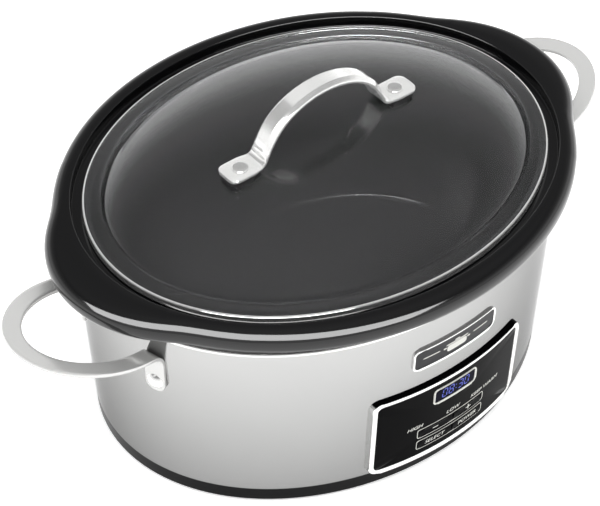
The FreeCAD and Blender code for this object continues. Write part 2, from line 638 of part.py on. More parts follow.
tab_seat = WALL.solid("tab_seat", "tab_drop - 20", "wall_high", "0.1")
right_handle = node(cut("handle_right", fuse("handle_solid", strap_flat, *tabs),
                        fuse("handle_tools", tab_seat, *tab_holes)), "side_handle_right")
node(mirrored("handle_left", right_handle, Vector(1, 0, 0)), "side_handle_left")


def dome_rivet(i, sx, sy):
    """Dome-head rivet through a tab and the wall."""
    turn = tab_axis(sx, sy)
    dome_x, dome_y = math.cos(math.radians(turn)), math.sin(math.radians(turn))
    lump = ball(f"rivet_ball_{i}", "tab_head * 1.25", f"{sx} * tab_x + ({BALL_BACK}) * {dome_x}",
                f"{sy} * tab_y + ({BALL_BACK}) * {dome_y}", "tab_rivet")
    limit = tab_rod(f"rivet_limit_{i}", "tab_head + 0.5", "loop_gauge + 0.1", "10", sx, sy)
    shank = tab_rod(f"rivet_shank_{i}", "tab_shank", "-7.5", "loop_gauge + 9", sx, sy)
    return fuse(f"rivet_{i}", common(f"rivet_dome_{i}", lump, limit), shank)


BALL_BACK = "loop_gauge + 0.1 - tab_head * 0.75"
node(group("side_rivets", *around(dome_rivet)), "handle_rivets")
washers = around(lambda i, sx, sy: cut(
    f"washer_{i}", tab_rod(f"washer_out_{i}", "5.5", "-2.9", "1.3", sx, sy),
    tab_rod(f"washer_in_{i}", "tab_shank", "-8", "8", sx, sy)))
node(group("side_washers", *washers), "rivet_washers")

# ---- crock ----
flange_oval = prism("flange_oval", "flange_half_x", "flange_half_y", "flange_low", "flange_high")
ears = [rod(f"ear_{word}", "ear_radius", "flange_high - flange_low", f"{side} * ear_centre", "0",
            "flange_low") for word, side in (("right", 1), ("left", -1))]
flange = fuse("flange_plan", flange_oval, *ears)
lip_oval = prism("lip_oval", "flange_half_x - flange_lip", "flange_half_y - flange_lip",
                 "flange_low - 2", "flange_web")
lip_ears = [rod(f"lip_ear_{word}", "ear_radius - flange_lip", "flange_web - flange_low + 2",
                f"{side} * ear_centre", "0", "flange_low - 2") for word, side in (("right", 1), ("left", -1))]
shoulder = prism("shoulder", "shoulder_half_x", "shoulder_half_y", "shoulder_low", "flange_web + 1")
pocket = cut("lip_pocket", fuse("lip_plan", lip_oval, *lip_ears),
             prism("lip_core", "shoulder_half_x", "shoulder_half_y", "flange_low - 4", "flange_web + 2"))
flange_soft = rounded("flange_soft", flange, "edge_round",
                      lambda edge: level_edge(size("flange_high"))(edge)
                      or level_edge(size("flange_low"))(edge))
pot_body = rounded("pot_body", POT.solid("pot_skin", "pot_floor", "shoulder_low + 1"), "pot_foot_round",
                   level_edge(size("pot_floor")))
pot_hollow = rounded("pot_hollow", POT.solid("pot_void", "pot_floor + pot_base", "seat_height + 1",
                                             "-pot_wall"), "pot_foot_round",
                     level_edge(size("pot_floor") + size("pot_base")))
seat = prism("seat", "seat_half_x", "seat_half_y", "seat_height", "flange_high + 1")
crock_solid = cut("crock_outside", fuse("crock_solid", flange_soft, shoulder, pot_body), pocket)
node(cut("crock_open", crock_solid, fuse("crock_tools", pot_hollow, seat)), "crock")

# ---- lid: glass, steel rim, bow handle ----


def dome(name, shrink):
    item = doc.addObject("Part::Ellipsoid", name)
    item.Angle1, item.Angle2 = -90, 90
    bind(item, Radius1=f"dome_rise - {shrink}", Radius2=f"dome_half_x - {shrink}",
         Radius3=f"dome_half_y - {shrink}")
    return move(item, z="dome_centre")


above = centred_box("above", "400", "400", "60", "0", "0", "glass_low")
cap = common("glass_cap", dome("dome_outside", "0"), above)
ledge = prism("glass_ledge_ring", "rim_half_x - 1.2", "rim_half_y - 1.2", "glass_low", "glass_ledge")
glass_holes = [rod(f"glass_hole_{word}", "grip_rivet_radius + 0.4", "30", f"{side} * grip_rivet_x", "0",
                   "dome_centre + 20") for word, side in (("right", 1), ("left", -1))]
glass = cut("glass_open", fuse("glass_solid", cap, ledge),
            fuse("glass_tools", dome("dome_inside", "glass_gauge"), *glass_holes))
node(glass, "lid_glass")

rim_block = cut("rim_block", prism("rim_out", "rim_half_x", "rim_half_y", "rim_low", "rim_high"),
                prism("rim_in", "rim_half_x - rim_width", "rim_half_y - rim_width", "rim_low - 1",
                      "rim_high + 1"))
rim_groove = prism("rim_groove", "rim_half_x - 1.2", "rim_half_y - 1.2", "glass_low", "glass_ledge")
node(rounded("rim_band", cut("rim_channel", rim_block, rim_groove), "rim_gauge",
             lambda edge: level_edge(size("rim_high"))(edge) and edge.BoundBox.XLength
             > 2 * size("rim_half_x") - 1), "lid_rim")


def arch_block(name, shrink):
    """Upright oval block across the strap."""
    path = bind(doc.addObject("Part::Ellipse", name + "_path"), MajorRadius=f"grip_half_x - {shrink}",
                MinorRadius=f"grip_rise - {shrink}")
    path.Placement.Rotation = TO_FRONT
    item = doc.addObject("Part::Extrusion", name)
    item.Base = path
    item.DirMode = "Custom"
    item.Dir = Vector(0, -1, 0)
    item.Solid = True
    bind(item, LengthFwd="grip_width")
    return move(item, "0", "grip_width / 2", "grip_foot")


arch_half = centred_box("arch_half", "200", "60", "80", "0", "0", "grip_foot")
arch = common("arch", cut("arch_ring", arch_block("arch_outer", "0"), arch_block("arch_inner", "grip_gauge")),
              arch_half)
grip_feet = []
for word, side in (("right", 1), ("left", -1)):
    plate = centred_box(f"grip_plate_{word}", "foot_end - grip_half_x + grip_gauge", "foot_width",
                        "grip_gauge", f"{side} * (foot_end + grip_half_x - grip_gauge) / 2", "0",
                        "grip_foot")
    corners = rounded(f"grip_corner_{word}", plate, "grip_head_radius",
                      lambda edge: edge.BoundBox.ZLength > 2)
    grip_feet.append(cut(f"grip_foot_{word}", corners,
                         rod(f"grip_hole_{word}", "grip_rivet_radius + 0.1", "10",
                             f"{side} * grip_rivet_x", "0", "grip_foot - 4")))
node(fuse("grip", arch, *grip_feet), "lid_handle")

pads, flat_rivets, backs = [], [], []
for word, side in (("right", 1), ("left", -1)):
    spot = f"{side} * grip_rivet_x"
    pad = cut(f"pad_body_{word}", centred_box(f"pad_block_{word}", "23", "17.5", "20",
                                              f"{side} * (grip_rivet_x - 0.4)", "0", "grip_foot - 20"),
              dome(f"pad_dome_{word}", "0"))
    pads.append(cut(f"pad_{word}", pad, rod(f"pad_hole_{word}", "grip_rivet_radius + 0.1", "40", spot,
                                            "0", "dome_centre")))
    head = rod(f"grip_head_{word}", "grip_head_radius", "1.3", spot, "0", "grip_foot + grip_gauge")
    shank = rod(f"grip_shank_{word}", "grip_rivet_radius", "grip_foot + grip_gauge - 178 + 0.5", spot, "0",
                "178")
    tail = rod(f"grip_tail_{word}", "4.2", "1", spot, "0", "177")
    flat_rivets.append(fuse(f"grip_rivet_{word}", head, shank, tail))
    under = centred_box(f"back_block_{word}", "13", "13", "6", spot, "0", "178")
    inside = common(f"back_fit_{word}", under, dome(f"back_dome_{word}", "glass_gauge"))
    backs.append(cut(f"back_{word}", inside, rod(f"back_hole_{word}", "grip_rivet_radius + 0.1", "20",
                                                 spot, "0", "170")))
node(group("pads", *pads), "handle_pads")
node(group("flat_rivets", *flat_rivets), "lid_rivets")
node(group("backs", *backs), "lid_washers")

# ---- check and export ----
doc.recompute()
for item in doc.Objects:
    if {"Invalid", "Error"} & set(item.State):
        raise RuntimeError(f"{item.Name} did not build: {item.State}")
for item in NODES:
    if item.Shape.isNull() or not item.Shape.isValid() or not item.Shape.Solids:
        raise RuntimeError(f"{item.Label} has no valid solid")
    item.Shape.exportStep(f"parts/{item.Label}.step")
    bounds = item.Shape.BoundBox
    print(f"{item.Label}: {len(item.Shape.Solids)} solids, {item.Shape.Volume / 1000:.2f} ml, "
          f"x {bounds.XMin:.1f}..{bounds.XMax:.1f} y {bounds.YMin:.1f}..{bounds.YMax:.1f} "
          f"z {bounds.ZMin:.1f}..{bounds.ZMax:.1f}")
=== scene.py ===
"""Oval slow cooker: housing, lift-out crock, glass lid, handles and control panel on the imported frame."""

import enum
import logging
import math
from collections.abc import Callable, Iterable, Sequence
from dataclasses import dataclass, field

import bmesh
import bpy
from mathutils import Matrix, Vector


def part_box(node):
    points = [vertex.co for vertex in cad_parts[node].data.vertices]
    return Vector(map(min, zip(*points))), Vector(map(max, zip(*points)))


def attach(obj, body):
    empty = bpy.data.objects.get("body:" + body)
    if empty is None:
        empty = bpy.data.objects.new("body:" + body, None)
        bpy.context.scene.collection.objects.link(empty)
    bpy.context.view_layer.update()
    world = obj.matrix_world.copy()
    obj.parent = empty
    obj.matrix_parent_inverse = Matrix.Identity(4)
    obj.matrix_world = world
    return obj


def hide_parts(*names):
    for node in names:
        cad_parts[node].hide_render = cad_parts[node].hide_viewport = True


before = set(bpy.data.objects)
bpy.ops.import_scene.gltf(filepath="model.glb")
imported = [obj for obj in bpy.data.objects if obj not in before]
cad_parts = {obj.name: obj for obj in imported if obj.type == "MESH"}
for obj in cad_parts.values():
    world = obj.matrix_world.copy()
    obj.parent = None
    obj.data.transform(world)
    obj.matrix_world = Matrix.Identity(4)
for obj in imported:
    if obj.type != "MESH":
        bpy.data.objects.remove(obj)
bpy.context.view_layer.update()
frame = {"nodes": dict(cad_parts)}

LOG = logging.getLogger("slow_cooker")
MM = 0.001
Point = tuple[float, float, float]
Colour = tuple[float, float, float]
Place = Callable[[int, int], Point]
BMesh = bmesh.types.BMesh


class Body(enum.Enum):
    """Rigid bodies of the cooker."""

    HOUSING = "housing"
    CROCK = "crock_body"
    LID = "lid_body"


class Streak(enum.Enum):
    """Direction of the brushing on a steel face, as noise scales along X, Y and Z."""

    LEVEL = (3.0, 3.0, 2200.0)
    LENGTHWAYS = (6.0, 900.0, 900.0)
    NONE = (60.0, 60.0, 60.0)


# ---- finishes ----

# Height in metres below which painted shade darkens the steel's colour towards the table.
PAINTED_SHADE_TOP = 0.14


class Graph:
    """Small builder for one material's node tree."""

    def __init__(self, name: str) -> None:
        """Start a material with an empty tree.

        Args:
            name: Material name.
        """
        self.material = bpy.data.materials.new(name)
        self.material.use_nodes = True
        self.tree = self.material.node_tree
        self.tree.nodes.clear()
        self.output = self.tree.nodes.new("ShaderNodeOutputMaterial")
        self.shader = self.node("ShaderNodeBsdfPrincipled")
        self.link(self.shader, "BSDF", self.output, "Surface")
        self.place = self.node("ShaderNodeTexCoord")

    def node(self, kind: str, **values: object) -> bpy.types.Node:
        """Add a node and set its input sockets by name.

        Args:
            kind: Node type identifier.
            **values: Socket values, with underscores for spaces.

        Returns:
            The new node.
        """
        item = self.tree.nodes.new(kind)
        for key, value in values.items():
            item.inputs[key.replace("_", " ")].default_value = value
        return item

    def link(self, source: bpy.types.Node, out: str, target: bpy.types.Node, socket: str) -> None:
        """Join two sockets."""
        self.tree.links.new(source.outputs[out], target.inputs[socket])

    def noise(self, scale: Sequence[float], detail: float = 3.0) -> bpy.types.Node:
        """Noise on object coordinates.

        Args:
            scale: Repeats per metre along X, Y and Z.
            detail: Noise detail.

        Returns:
            The noise node.
        """
        mapping = self.node("ShaderNodeMapping", Scale=tuple(scale))
        self.link(self.place, "Object", mapping, "Vector")
        texture = self.node("ShaderNodeTexNoise", Scale=1.0, Detail=detail, Roughness=0.55)
        self.link(mapping, "Vector", texture, "Vector")
        return texture

    def spread(self, source: bpy.types.Node, low: float, high: float, socket: str) -> None:
        """Map a noise's value to a range and feed a shader socket.

        Args:
            source: Noise node.
            low: Value at the noise's dark end.
            high: Value at its bright end.
            socket: Shader input.
        """
        span = self.node("ShaderNodeMapRange", From_Min=0.3, From_Max=0.7, To_Min=low, To_Max=high)
        self.link(source, "Fac", span, "Value")
        self.link(span, "Result", self.shader, socket)

    def tint(self, source: bpy.types.Node, first: Colour, second: Colour) -> None:
        """Colour the shader between two tones by a noise."""
        mix = self.tree.nodes.new("ShaderNodeMix")
        mix.data_type = "RGBA"
        mix.inputs[6].default_value = (*first, 1.0)
        mix.inputs[7].default_value = (*second, 1.0)
        self.link(source, "Fac", mix, "Factor")
        self.tree.links.new(mix.outputs[2], self.shader.inputs["Base Color"])

    def paint_shade_below(self, top: float, level: float) -> None:
        """Paint shade into the base colour, darkening it evenly from a height in metres down to the table.

        Args:
            top: Height the full colour starts at.
            level: Share of the colour left at the table.
        """
        split = self.node("ShaderNodeSeparateXYZ")
        self.link(self.place, "Object", split, "Vector")
        ramp = self.node("ShaderNodeMapRange", From_Min=0.0, From_Max=top, To_Min=level, To_Max=1.0)
        self.link(split, "Z", ramp, "Value")
        scale = self.node("ShaderNodeVectorMath")
        scale.operation = "SCALE"
        colour = self.shader.inputs["Base Color"]
        self.tree.links.new(colour.links[0].from_socket, scale.inputs[0])
        self.link(ramp, "Result", scale, "Scale")
        self.tree.links.new(scale.outputs[0], colour)

    def bump(self, source: bpy.types.Node, height: float, strength: float = 1.0) -> None:
        """Bump the shader's normal by a noise of a height in metres."""
        bump = self.node("ShaderNodeBump", Strength=strength, Distance=height)
        self.link(source, "Fac", bump, "Height")
        self.link(bump, "Normal", self.shader, "Normal")


@dataclass(frozen=True)
class SteelFinish:
    """Stainless steel, brushed or polished."""

    name: str
    colour: Colour
    roughness: float
    streak: Streak
    depth: float
    vary: float = 0.05
    metal: float = 1.0
    # Share of the colour taken off at the table by painted shade.
    painted_shade: float = 0.0
    edge: float = 1.0

    def build(self) -> bpy.types.Material:
        """Make the material.

        Returns:
            The finished material.
        """
        graph = Graph(self.name)
        graph.shader.inputs["Metallic"].default_value = self.metal
        graph.shader.inputs["Specular Tint"].default_value = (self.edge, self.edge, self.edge, 1.0)
        grain = graph.noise(self.streak.value, 4.0)
        cloud = graph.noise((9.0, 9.0, 9.0), 2.0)
        dark = tuple(channel * 0.93 for channel in self.colour)
        graph.tint(cloud, dark, self.colour)
        # Painted shade: the colour darkens towards the table, standing in for the shaded floor that the lower
        # wall reflects.
        if self.painted_shade:
            graph.paint_shade_below(PAINTED_SHADE_TOP, 1.0 - self.painted_shade)
        graph.spread(grain, self.roughness - self.vary, self.roughness + self.vary, "Roughness")
        graph.bump(grain, self.depth, 0.6)
        return graph.material


@dataclass(frozen=True)
class GlazeFinish:
    """Fired glossy glaze over stoneware."""

    name: str
    colour: Colour
    ior: float = 1.46
    coat: float = 0.15
    coat_roughness: float = 0.05

    def build(self) -> bpy.types.Material:
        """Make the material."""
        graph = Graph(self.name)
        graph.shader.inputs["IOR"].default_value = self.ior
        graph.shader.inputs["Coat Weight"].default_value = self.coat
        graph.shader.inputs["Coat Roughness"].default_value = self.coat_roughness
        pool = graph.noise((5.0, 5.0, 5.0), 2.0)
        light = tuple(channel * 1.3 + 0.0003 for channel in self.colour)
        graph.tint(pool, self.colour, light)
        graph.spread(pool, 0.09, 0.13, "Roughness")
        graph.bump(pool, 0.0002, 0.1)
        return graph.material


@dataclass(frozen=True)
class GlassFinish:
    """Clear tempered glass."""

    name: str
    colour: Colour
    roughness: float
    clarity: float = 0.988
    ior: float = 1.5

    def build(self) -> bpy.types.Material:
        """Make the material."""
        graph = Graph(self.name)
        graph.shader.inputs["Transmission Weight"].default_value = self.clarity
        graph.shader.inputs["IOR"].default_value = self.ior
        film = graph.noise((30.0, 30.0, 30.0), 3.0)
        deep = tuple(channel * 0.96 for channel in self.colour)
        graph.tint(film, self.colour, deep)
        graph.shader.inputs["Roughness"].default_value = self.roughness
        return graph.material


@dataclass(frozen=True)
class MouldedFinish:
    """Moulded plastic or rubber with a fine surface grain."""

    name: str
    colour: Colour
    roughness: float
    grain: float = 900.0
    depth: float = 0.00004
    coat: float = 0.0
    specular: float = 0.5

    def build(self) -> bpy.types.Material:
        """Make the material."""
        graph = Graph(self.name)
        graph.shader.inputs["Coat Weight"].default_value = self.coat
        graph.shader.inputs["Coat Roughness"].default_value = 0.05
        graph.shader.inputs["Specular IOR Level"].default_value = self.specular
        grain = graph.noise((self.grain, self.grain, self.grain), 3.0)
        cloud = graph.noise((22.0, 22.0, 22.0), 2.0)
        light = tuple(channel * 1.25 for channel in self.colour)
        graph.tint(cloud, self.colour, light)
        graph.spread(cloud, self.roughness * 0.85, self.roughness * 1.15, "Roughness")
        graph.bump(grain, self.depth, 0.8)
        return graph.material


@dataclass(frozen=True)
class GlowFinish:
    """Lit display segment."""

    name: str
    colour: Colour
    strength: float

    def build(self) -> bpy.types.Material:
        """Make the material."""
        graph = Graph(self.name)
        graph.shader.inputs["Emission Color"].default_value = (*self.colour, 1.0)
        graph.shader.inputs["Emission Strength"].default_value = self.strength
        cell = graph.noise((900.0, 900.0, 900.0), 1.0)
        graph.tint(cell, self.colour, tuple(channel * 0.8 for channel in self.colour))
        graph.spread(cell, 0.3, 0.45, "Roughness")
        return graph.material


@dataclass(frozen=True)
class WovenFinish:
    """Glass-fibre wrap woven over resistance wire."""

    name: str
    colour: Colour

    def build(self) -> bpy.types.Material:
        """Make the material."""
        graph = Graph(self.name)
        wave = graph.node("ShaderNodeTexWave", Scale=260.0, Distortion=1.5, Detail=2.0)
        wave.bands_direction = "DIAGONAL"
        graph.link(graph.place, "Object", wave, "Vector")
        graph.tint(wave, tuple(channel * 0.6 for channel in self.colour), self.colour)
        graph.spread(wave, 0.8, 0.95, "Roughness")
        graph.bump(wave, 0.0004, 0.8)
        return graph.material


class Finishes:
    """Every finish on the cooker, built once."""

    RECIPES = {
        # The brushed wall's 0.42 is painted shade that darkens its colour towards the table.
        "brushed": SteelFinish("brushed_steel", (0.52, 0.52, 0.515), 0.12, Streak.LEVEL, 0.00001, 0.03, 0.85,
                               0.42, 0.5),
        "strap": SteelFinish("strap_steel", (0.66, 0.66, 0.65), 0.2, Streak.NONE, 0.00002, 0.04, 0.55),
        "grip": SteelFinish("grip_steel", (0.9, 0.9, 0.89), 0.16, Streak.LENGTHWAYS, 0.00002, 0.04, 0.75),
        "polished": SteelFinish("polished_steel", (0.92, 0.92, 0.91), 0.07, Streak.NONE, 0.00001, 0.02, 0.9),
        "sheet": SteelFinish("plain_sheet", (0.60, 0.60, 0.60), 0.38, Streak.NONE, 0.00002),
        "aluminium": SteelFinish("plain_aluminium", (0.75, 0.75, 0.76), 0.42, Streak.LEVEL, 0.00003),
        "glaze": GlazeFinish("black_glaze", (0.0022, 0.0022, 0.0025)),
        "glass": GlassFinish("lid_glass_clear", (0.93, 0.94, 0.95), 0.0),
        "pane": MouldedFinish("display_pane_tint", (0.001, 0.0012, 0.008), 0.08, specular=0.02),
        "panel": MouldedFinish("panel_gloss", (0.001, 0.001, 0.0012), 0.1, 500.0, 0.00001, specular=0.02),
        "print": MouldedFinish("panel_print_grey", (0.62, 0.62, 0.58), 0.4),
        "badge": MouldedFinish("badge_charcoal", (0.022, 0.022, 0.024), 0.32, specular=0.15),
        "tray": MouldedFinish("black_base", (0.003, 0.003, 0.0034), 0.25, specular=0.07),
        "moulding": MouldedFinish("black_moulding_matt", (0.012, 0.012, 0.012), 0.5),
        "rubber": MouldedFinish("black_rubber", (0.01, 0.01, 0.01), 0.85, 400.0, 0.0001),
        "board": MouldedFinish("green_board", (0.02, 0.12, 0.05), 0.35),
        "white": MouldedFinish("white_moulding", (0.75, 0.75, 0.72), 0.4),
        "wrap": WovenFinish("heater_weave", (0.62, 0.58, 0.5)),
        "digit": GlowFinish("digit_blue", (0.03, 0.05, 0.36), 0.45),
    }

    def __init__(self) -> None:
        """Build every material."""
        self.made = {key: recipe.build() for key, recipe in self.RECIPES.items()}

    def __getitem__(self, key: str) -> bpy.types.Material:
        """Material by its short name."""
        return self.made[key]


# ---- mesh building ----


def lattice(rings: int, steps: int, place: Place, looped: bool = False) -> BMesh:
    """Spin a column of points round, then set every point where it belongs.

    Args:
        rings: Points in the column.
        steps: Steps in a full turn.
        place: Point for a ring number and a step number.
        looped: Whether the column closes on itself.

    Returns:
        The mesh, with each point's ring number in the layer "ring".
    """
    mesh = bmesh.new()
    layer = mesh.verts.layers.int.new("ring")
    column = [mesh.verts.new((1.0, 0.0, float(k))) for k in range(rings)]
    for k, vert in enumerate(column):
        vert[layer] = k
    pairs = list(zip(column, column[1:])) + ([(column[-1], column[0])] if looped else [])
    lines = [mesh.edges.new(pair) for pair in pairs]
    bmesh.ops.spin(mesh, geom=column + lines, cent=(0, 0, 0), axis=(0, 0, 1), angle=math.tau, steps=steps,
                   use_merge=True, use_duplicate=False)
    for vert in mesh.verts:
        ring = round(vert.co.z)
        step = round(math.atan2(vert.co.y, vert.co.x) / math.tau * steps) % steps
        vert[layer] = ring
        vert.co = place(ring, step)
    return mesh


def soften(mesh: BMesh, ring: int, radius: float, segments: int = 4) -> None:
    """Bevel the edge line that runs round a ring.

    Args:
        mesh: Mesh made by lattice.
        ring: Ring number.
        radius: Bevel width in metres.
        segments: Bevel segments.
    """
    layer = mesh.verts.layers.int["ring"]
    line = [edge for edge in mesh.edges if all(vert[layer] == ring for vert in edge.verts)]
    bmesh.ops.bevel(mesh, geom=line, offset=radius, offset_type="OFFSET", affect="EDGES",
                    segments=segments, profile=0.5, material=-1, clamp_overlap=True)


def close_ends(mesh: BMesh) -> None:
    """Fill whatever stays open in a mesh."""
    rims = [edge for edge in mesh.edges if edge.is_boundary]
    if rims:
        bmesh.ops.holes_fill(mesh, edges=rims, sides=0)


def finish_piece(mesh: BMesh, name: str, body: str, material: bpy.types.Material,
                 replaces: Sequence[str] = (), sharp: float = 35.0) -> bpy.types.Object:
    """Turn a mesh into a finished piece that rides on its body.

    Args:
        mesh: Mesh in metres, in the row frame.
        name: Piece name.
        body: CAD body it rides on.
        material: Its finish.
        replaces: CAD nodes it stands for.
        sharp: Angle in degrees past which an edge stays crisp.

    Returns:
        The new object.
    """
    bmesh.ops.remove_doubles(mesh, verts=mesh.verts, dist=1e-7)
    bmesh.ops.dissolve_degenerate(mesh, edges=mesh.edges, dist=1e-8)
    bmesh.ops.recalc_face_normals(mesh, faces=mesh.faces)
    data = bpy.data.meshes.new(name)
    mesh.to_mesh(data)
    mesh.free()
    data.polygons.foreach_set("use_smooth", [True] * len(data.polygons))
    data.set_sharp_from_angle(angle=math.radians(sharp))
    data.materials.append(material)
    piece = bpy.data.objects.new(name, data)
    bpy.context.scene.collection.objects.link(piece)
    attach(piece, body)
    if replaces:
        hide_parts(*replaces)
    LOG.info("%s: %d faces on %s", name, len(data.polygons), body)
    return piece


@dataclass(frozen=True)
class Oval:
    """Plan outline, in millimetres: an oval, with round ears at its ends where they stick out."""

    half_x: float
    half_y: float
    ear_radius: float = 0.0
    ear_centre: float = 0.0

    def grown(self, by: float) -> "Oval":
        """The outline moved outwards."""
        ear = self.ear_radius + by if self.ear_radius else 0.0
        return Oval(self.half_x + by, self.half_y + by, ear, self.ear_centre)

    def toward(self, other: "Oval", share: float, grow: float) -> "Oval":
        """Plain oval at a share of the way to another, moved outwards."""
        return Oval(self.half_x + (other.half_x - self.half_x) * share + grow,
                    self.half_y + (other.half_y - self.half_y) * share + grow)

    def at(self, turn: float) -> tuple[float, float]:
        """Point at an angle round the outline.

        Args:
            turn: Angle in radians.

        Returns:
            X and Y in millimetres.
        """
        x, y = self.half_x * math.cos(turn), self.half_y * math.sin(turn)
        if not self.ear_radius:
            return x, y
        reach, side = math.hypot(x, y), math.copysign(1.0, x)
        along, across = abs(x) / reach, y / reach
        inside = self.ear_radius**2 - (self.ear_centre * across) ** 2
        if inside <= 0.0:
            return x, y
        ear = self.ear_centre * along + math.sqrt(inside)
        blend = 5.0 * min(1.0, inside / self.ear_radius**2 * 4.0)
        reach = 0.5 * (reach + ear + math.hypot(reach - ear, blend)) if ear > reach - 30.0 else reach
        return side * along * reach, across * reach


@dataclass(frozen=True)
class Ring:
    """One level line of a shell, with the round its edge gets."""

    outline: Oval
    height: float
    soft: float = 0.0


def oval_shell(rings: Sequence[Ring], steps: int = 192, looped: bool = False) -> BMesh:
    """Shell through a stack of level outlines.

    Args:
        rings: Outlines from the first to the last.
        steps: Points round each outline.
        looped: Whether the last joins the first.

    Returns:
        The mesh in metres.
    """

    def place(ring: int, step: int) -> Point:
        """Point of a level line."""
        x, y = rings[ring].outline.at(math.tau * step / steps)
        return x * MM, y * MM, rings[ring].height * MM

    mesh = lattice(len(rings), steps, place, looped)
    for index, ring in enumerate(rings):
        if ring.soft:
            soften(mesh, index, ring.soft * MM, max(4, round(ring.soft)))
    return mesh


@dataclass(frozen=True)
class Housing:
    """The steel wall as a surface that other pieces follow, in millimetres."""

    base: Oval
    top: Oval
    high: float

    def outline(self, height: float, grow: float = 0.0) -> Oval:
        """Plan outline of the wall at a height, moved outwards."""
        return self.base.toward(self.top, height / self.high, grow)

    def front(self, x: float, height: float, proud: float) -> Point:
        """Point in metres on the front wall.

        Args:
            x: Sideways place.
            height: Height.
            proud: Distance off the wall.

        Returns:
            The point in metres.
        """
        oval = self.outline(height, proud)
        return x * MM, -oval.half_y * math.sqrt(1.0 - (x / oval.half_x) ** 2) * MM, height * MM


@dataclass(frozen=True)
class RoundRect:
    """Rounded rectangle, in millimetres, walked round by the share of its border."""

    width: float
    height: float
    radius: float

    def grown(self, by: float) -> "RoundRect":
        """The outline moved outwards."""
        return RoundRect(self.width + 2 * by, self.height + 2 * by, max(self.radius + by, 0.2))

    def shrunk_to(self, share: float) -> "RoundRect":
        """The outline scaled about its middle."""
        return RoundRect(self.width * share, self.height * share, self.radius * share)

    def at(self, share: float) -> tuple[float, float]:
        """Point at a share of the border.

        Args:
            share: From 0 to 1, anticlockwise from the right side's middle.

        Returns:
            Sideways and upward place.
        """
        w, h, r = self.width / 2 - self.radius, self.height / 2 - self.radius, self.radius
        quarter = math.pi / 2 * r
        runs = [h, quarter, 2 * w, quarter, 2 * h, quarter, 2 * w, quarter, h]
        left = share * sum(runs)
        index = 0
        while index < len(runs) - 1 and left > runs[index]:
            left -= runs[index]
            index += 1
        if index % 2:
            corner = index // 2
            centre = ((w, h), (-w, h), (-w, -h), (w, -h))[corner]
            turn = math.pi / 2 * (corner + (left / quarter if quarter else 0.0))
            return centre[0] + r * math.cos(turn), centre[1] + r * math.sin(turn)
        return ((w + r, left), (w - left, h + r), (-w - r, h - left), (-w + left, -h - r),
                (w + r, -h + left))[index // 2]


@dataclass(frozen=True)
class Level:
    """One outline of a wall-following plate, at a height off the wall."""

    outline: RoundRect
    proud: float
    soft: float = 0.0


def wall_plate(housing: Housing, levels: Sequence[Level], centre: tuple[float, float], steps: int = 160,
               looped: bool = False) -> BMesh:
    """Plate or frame built flat and then laid on the front wall.

    Args:
        housing: The wall.
        levels: Outlines and their heights off the wall.
        centre: Sideways and upward place of the plate's middle.
        steps: Points round each outline.
        looped: Whether the last outline joins the first, as on a frame.

    Returns:
        The mesh in metres.
    """

    def place(ring: int, step: int) -> Point:
        """Point of a flat outline, its height off the wall along Z."""
        x, z = levels[ring].outline.at(step / steps)
        return x * MM, z * MM, levels[ring].proud * MM

    mesh = lattice(len(levels), steps, place, looped)
    for index, level in enumerate(levels):
        if level.soft:
            soften(mesh, index, level.soft * MM, 3)
    for vert in mesh.verts:
        x, z, proud = (value / MM for value in vert.co)
        vert.co = housing.front(x + centre[0], z + centre[1], proud)
    return mesh


def slab_levels(outline: RoundRect, back: float, front: float, soft: float) -> list[Level]:
    """Outlines of a filled plate with a softened front edge.

    Args:
        outline: Its border.
        back: Height of its back off the wall.
        front: Height of its face off the wall.
        soft: Round on the front edge.

    Returns:
        Levels from the middle of the back to the middle of the face.
    """
    shares = (0.0, 0.25, 0.5, 0.75)
    rear = [Level(outline.shrunk_to(share), back) for share in shares]
    face = [Level(outline.shrunk_to(share), front) for share in reversed(shares)]
    return [*rear, Level(outline, back), Level(outline, front, soft), *face]


@dataclass(frozen=True)
class Station:
    """One cross-section of a strap: where it is, which way it faces and how wide it is."""

    middle: Vector
    across: Vector
    outward: Vector
    width: float
    gauge: float
    curl: float = 0.0


QUARTER = ((1.0, 0.0), (1.0, 0.55), (0.965, 0.9), (0.9, 1.0), (0.62, 1.0), (0.3, 1.0), (0.0, 1.0))
UPPER = (*QUARTER, *((-across, through) for across, through in reversed(QUARTER[1:-1])))
SECTION = (*UPPER, *((-across, -through) for across, through in UPPER))
ROLL_FROM = 0.62


def strap(stations: Sequence[Station]) -> BMesh:
    """Flat strap swept through its stations, with its sides rolled over by the curl.

    Args:
        stations: Cross-sections in order, in millimetres.

    Returns:
        The closed mesh in metres.
    """

    def place(ring: int, step: int) -> Point:
        """Point of a cross-section."""
        station = stations[ring]
        across, through = SECTION[step]
        roll = station.curl * max(0.0, abs(across) - ROLL_FROM) / (1.0 - ROLL_FROM)
        spot = (station.middle + station.across * (across * station.width / 2)
                + station.outward * (through * station.gauge / 2 - roll))
        return tuple(spot * MM)

    mesh = lattice(len(stations), len(SECTION), place)
    close_ends(mesh)
    return mesh


def rounded_end(distance: float, half: float, radius: float) -> float:
    """Half-width of a strap near its rounded end.

    Args:
        distance: Distance from the end.
        half: Half-width away from it.
        radius: Corner radius.

    Returns:
        The half-width there.
    """
    if distance >= radius:
        return half
    return half - radius + math.sqrt(max(radius**2 - (radius - distance) ** 2, 0.0))


def turned(profile: Sequence[tuple[float, float]], steps: int = 48) -> BMesh:
    """Round piece spun from radius and height pairs about +Z, in millimetres."""

    def place(ring: int, step: int) -> Point:
        """Point of the turned profile."""
        radius, height = profile[ring]
        turn = math.tau * step / steps
        return radius * math.cos(turn) * MM, radius * math.sin(turn) * MM, height * MM

    return lattice(len(profile), steps, place)


def moved(mesh: BMesh, spot: Vector, outward: Vector = Vector((0, 0, 1))) -> BMesh:
    """Turn a mesh's +Z to face outward and carry it to a spot in millimetres."""
    turn = Vector((0, 0, 1)).rotation_difference(outward).to_matrix().to_4x4()
    bmesh.ops.transform(mesh, matrix=Matrix.Translation(spot * MM) @ turn, verts=mesh.verts)
    return mesh


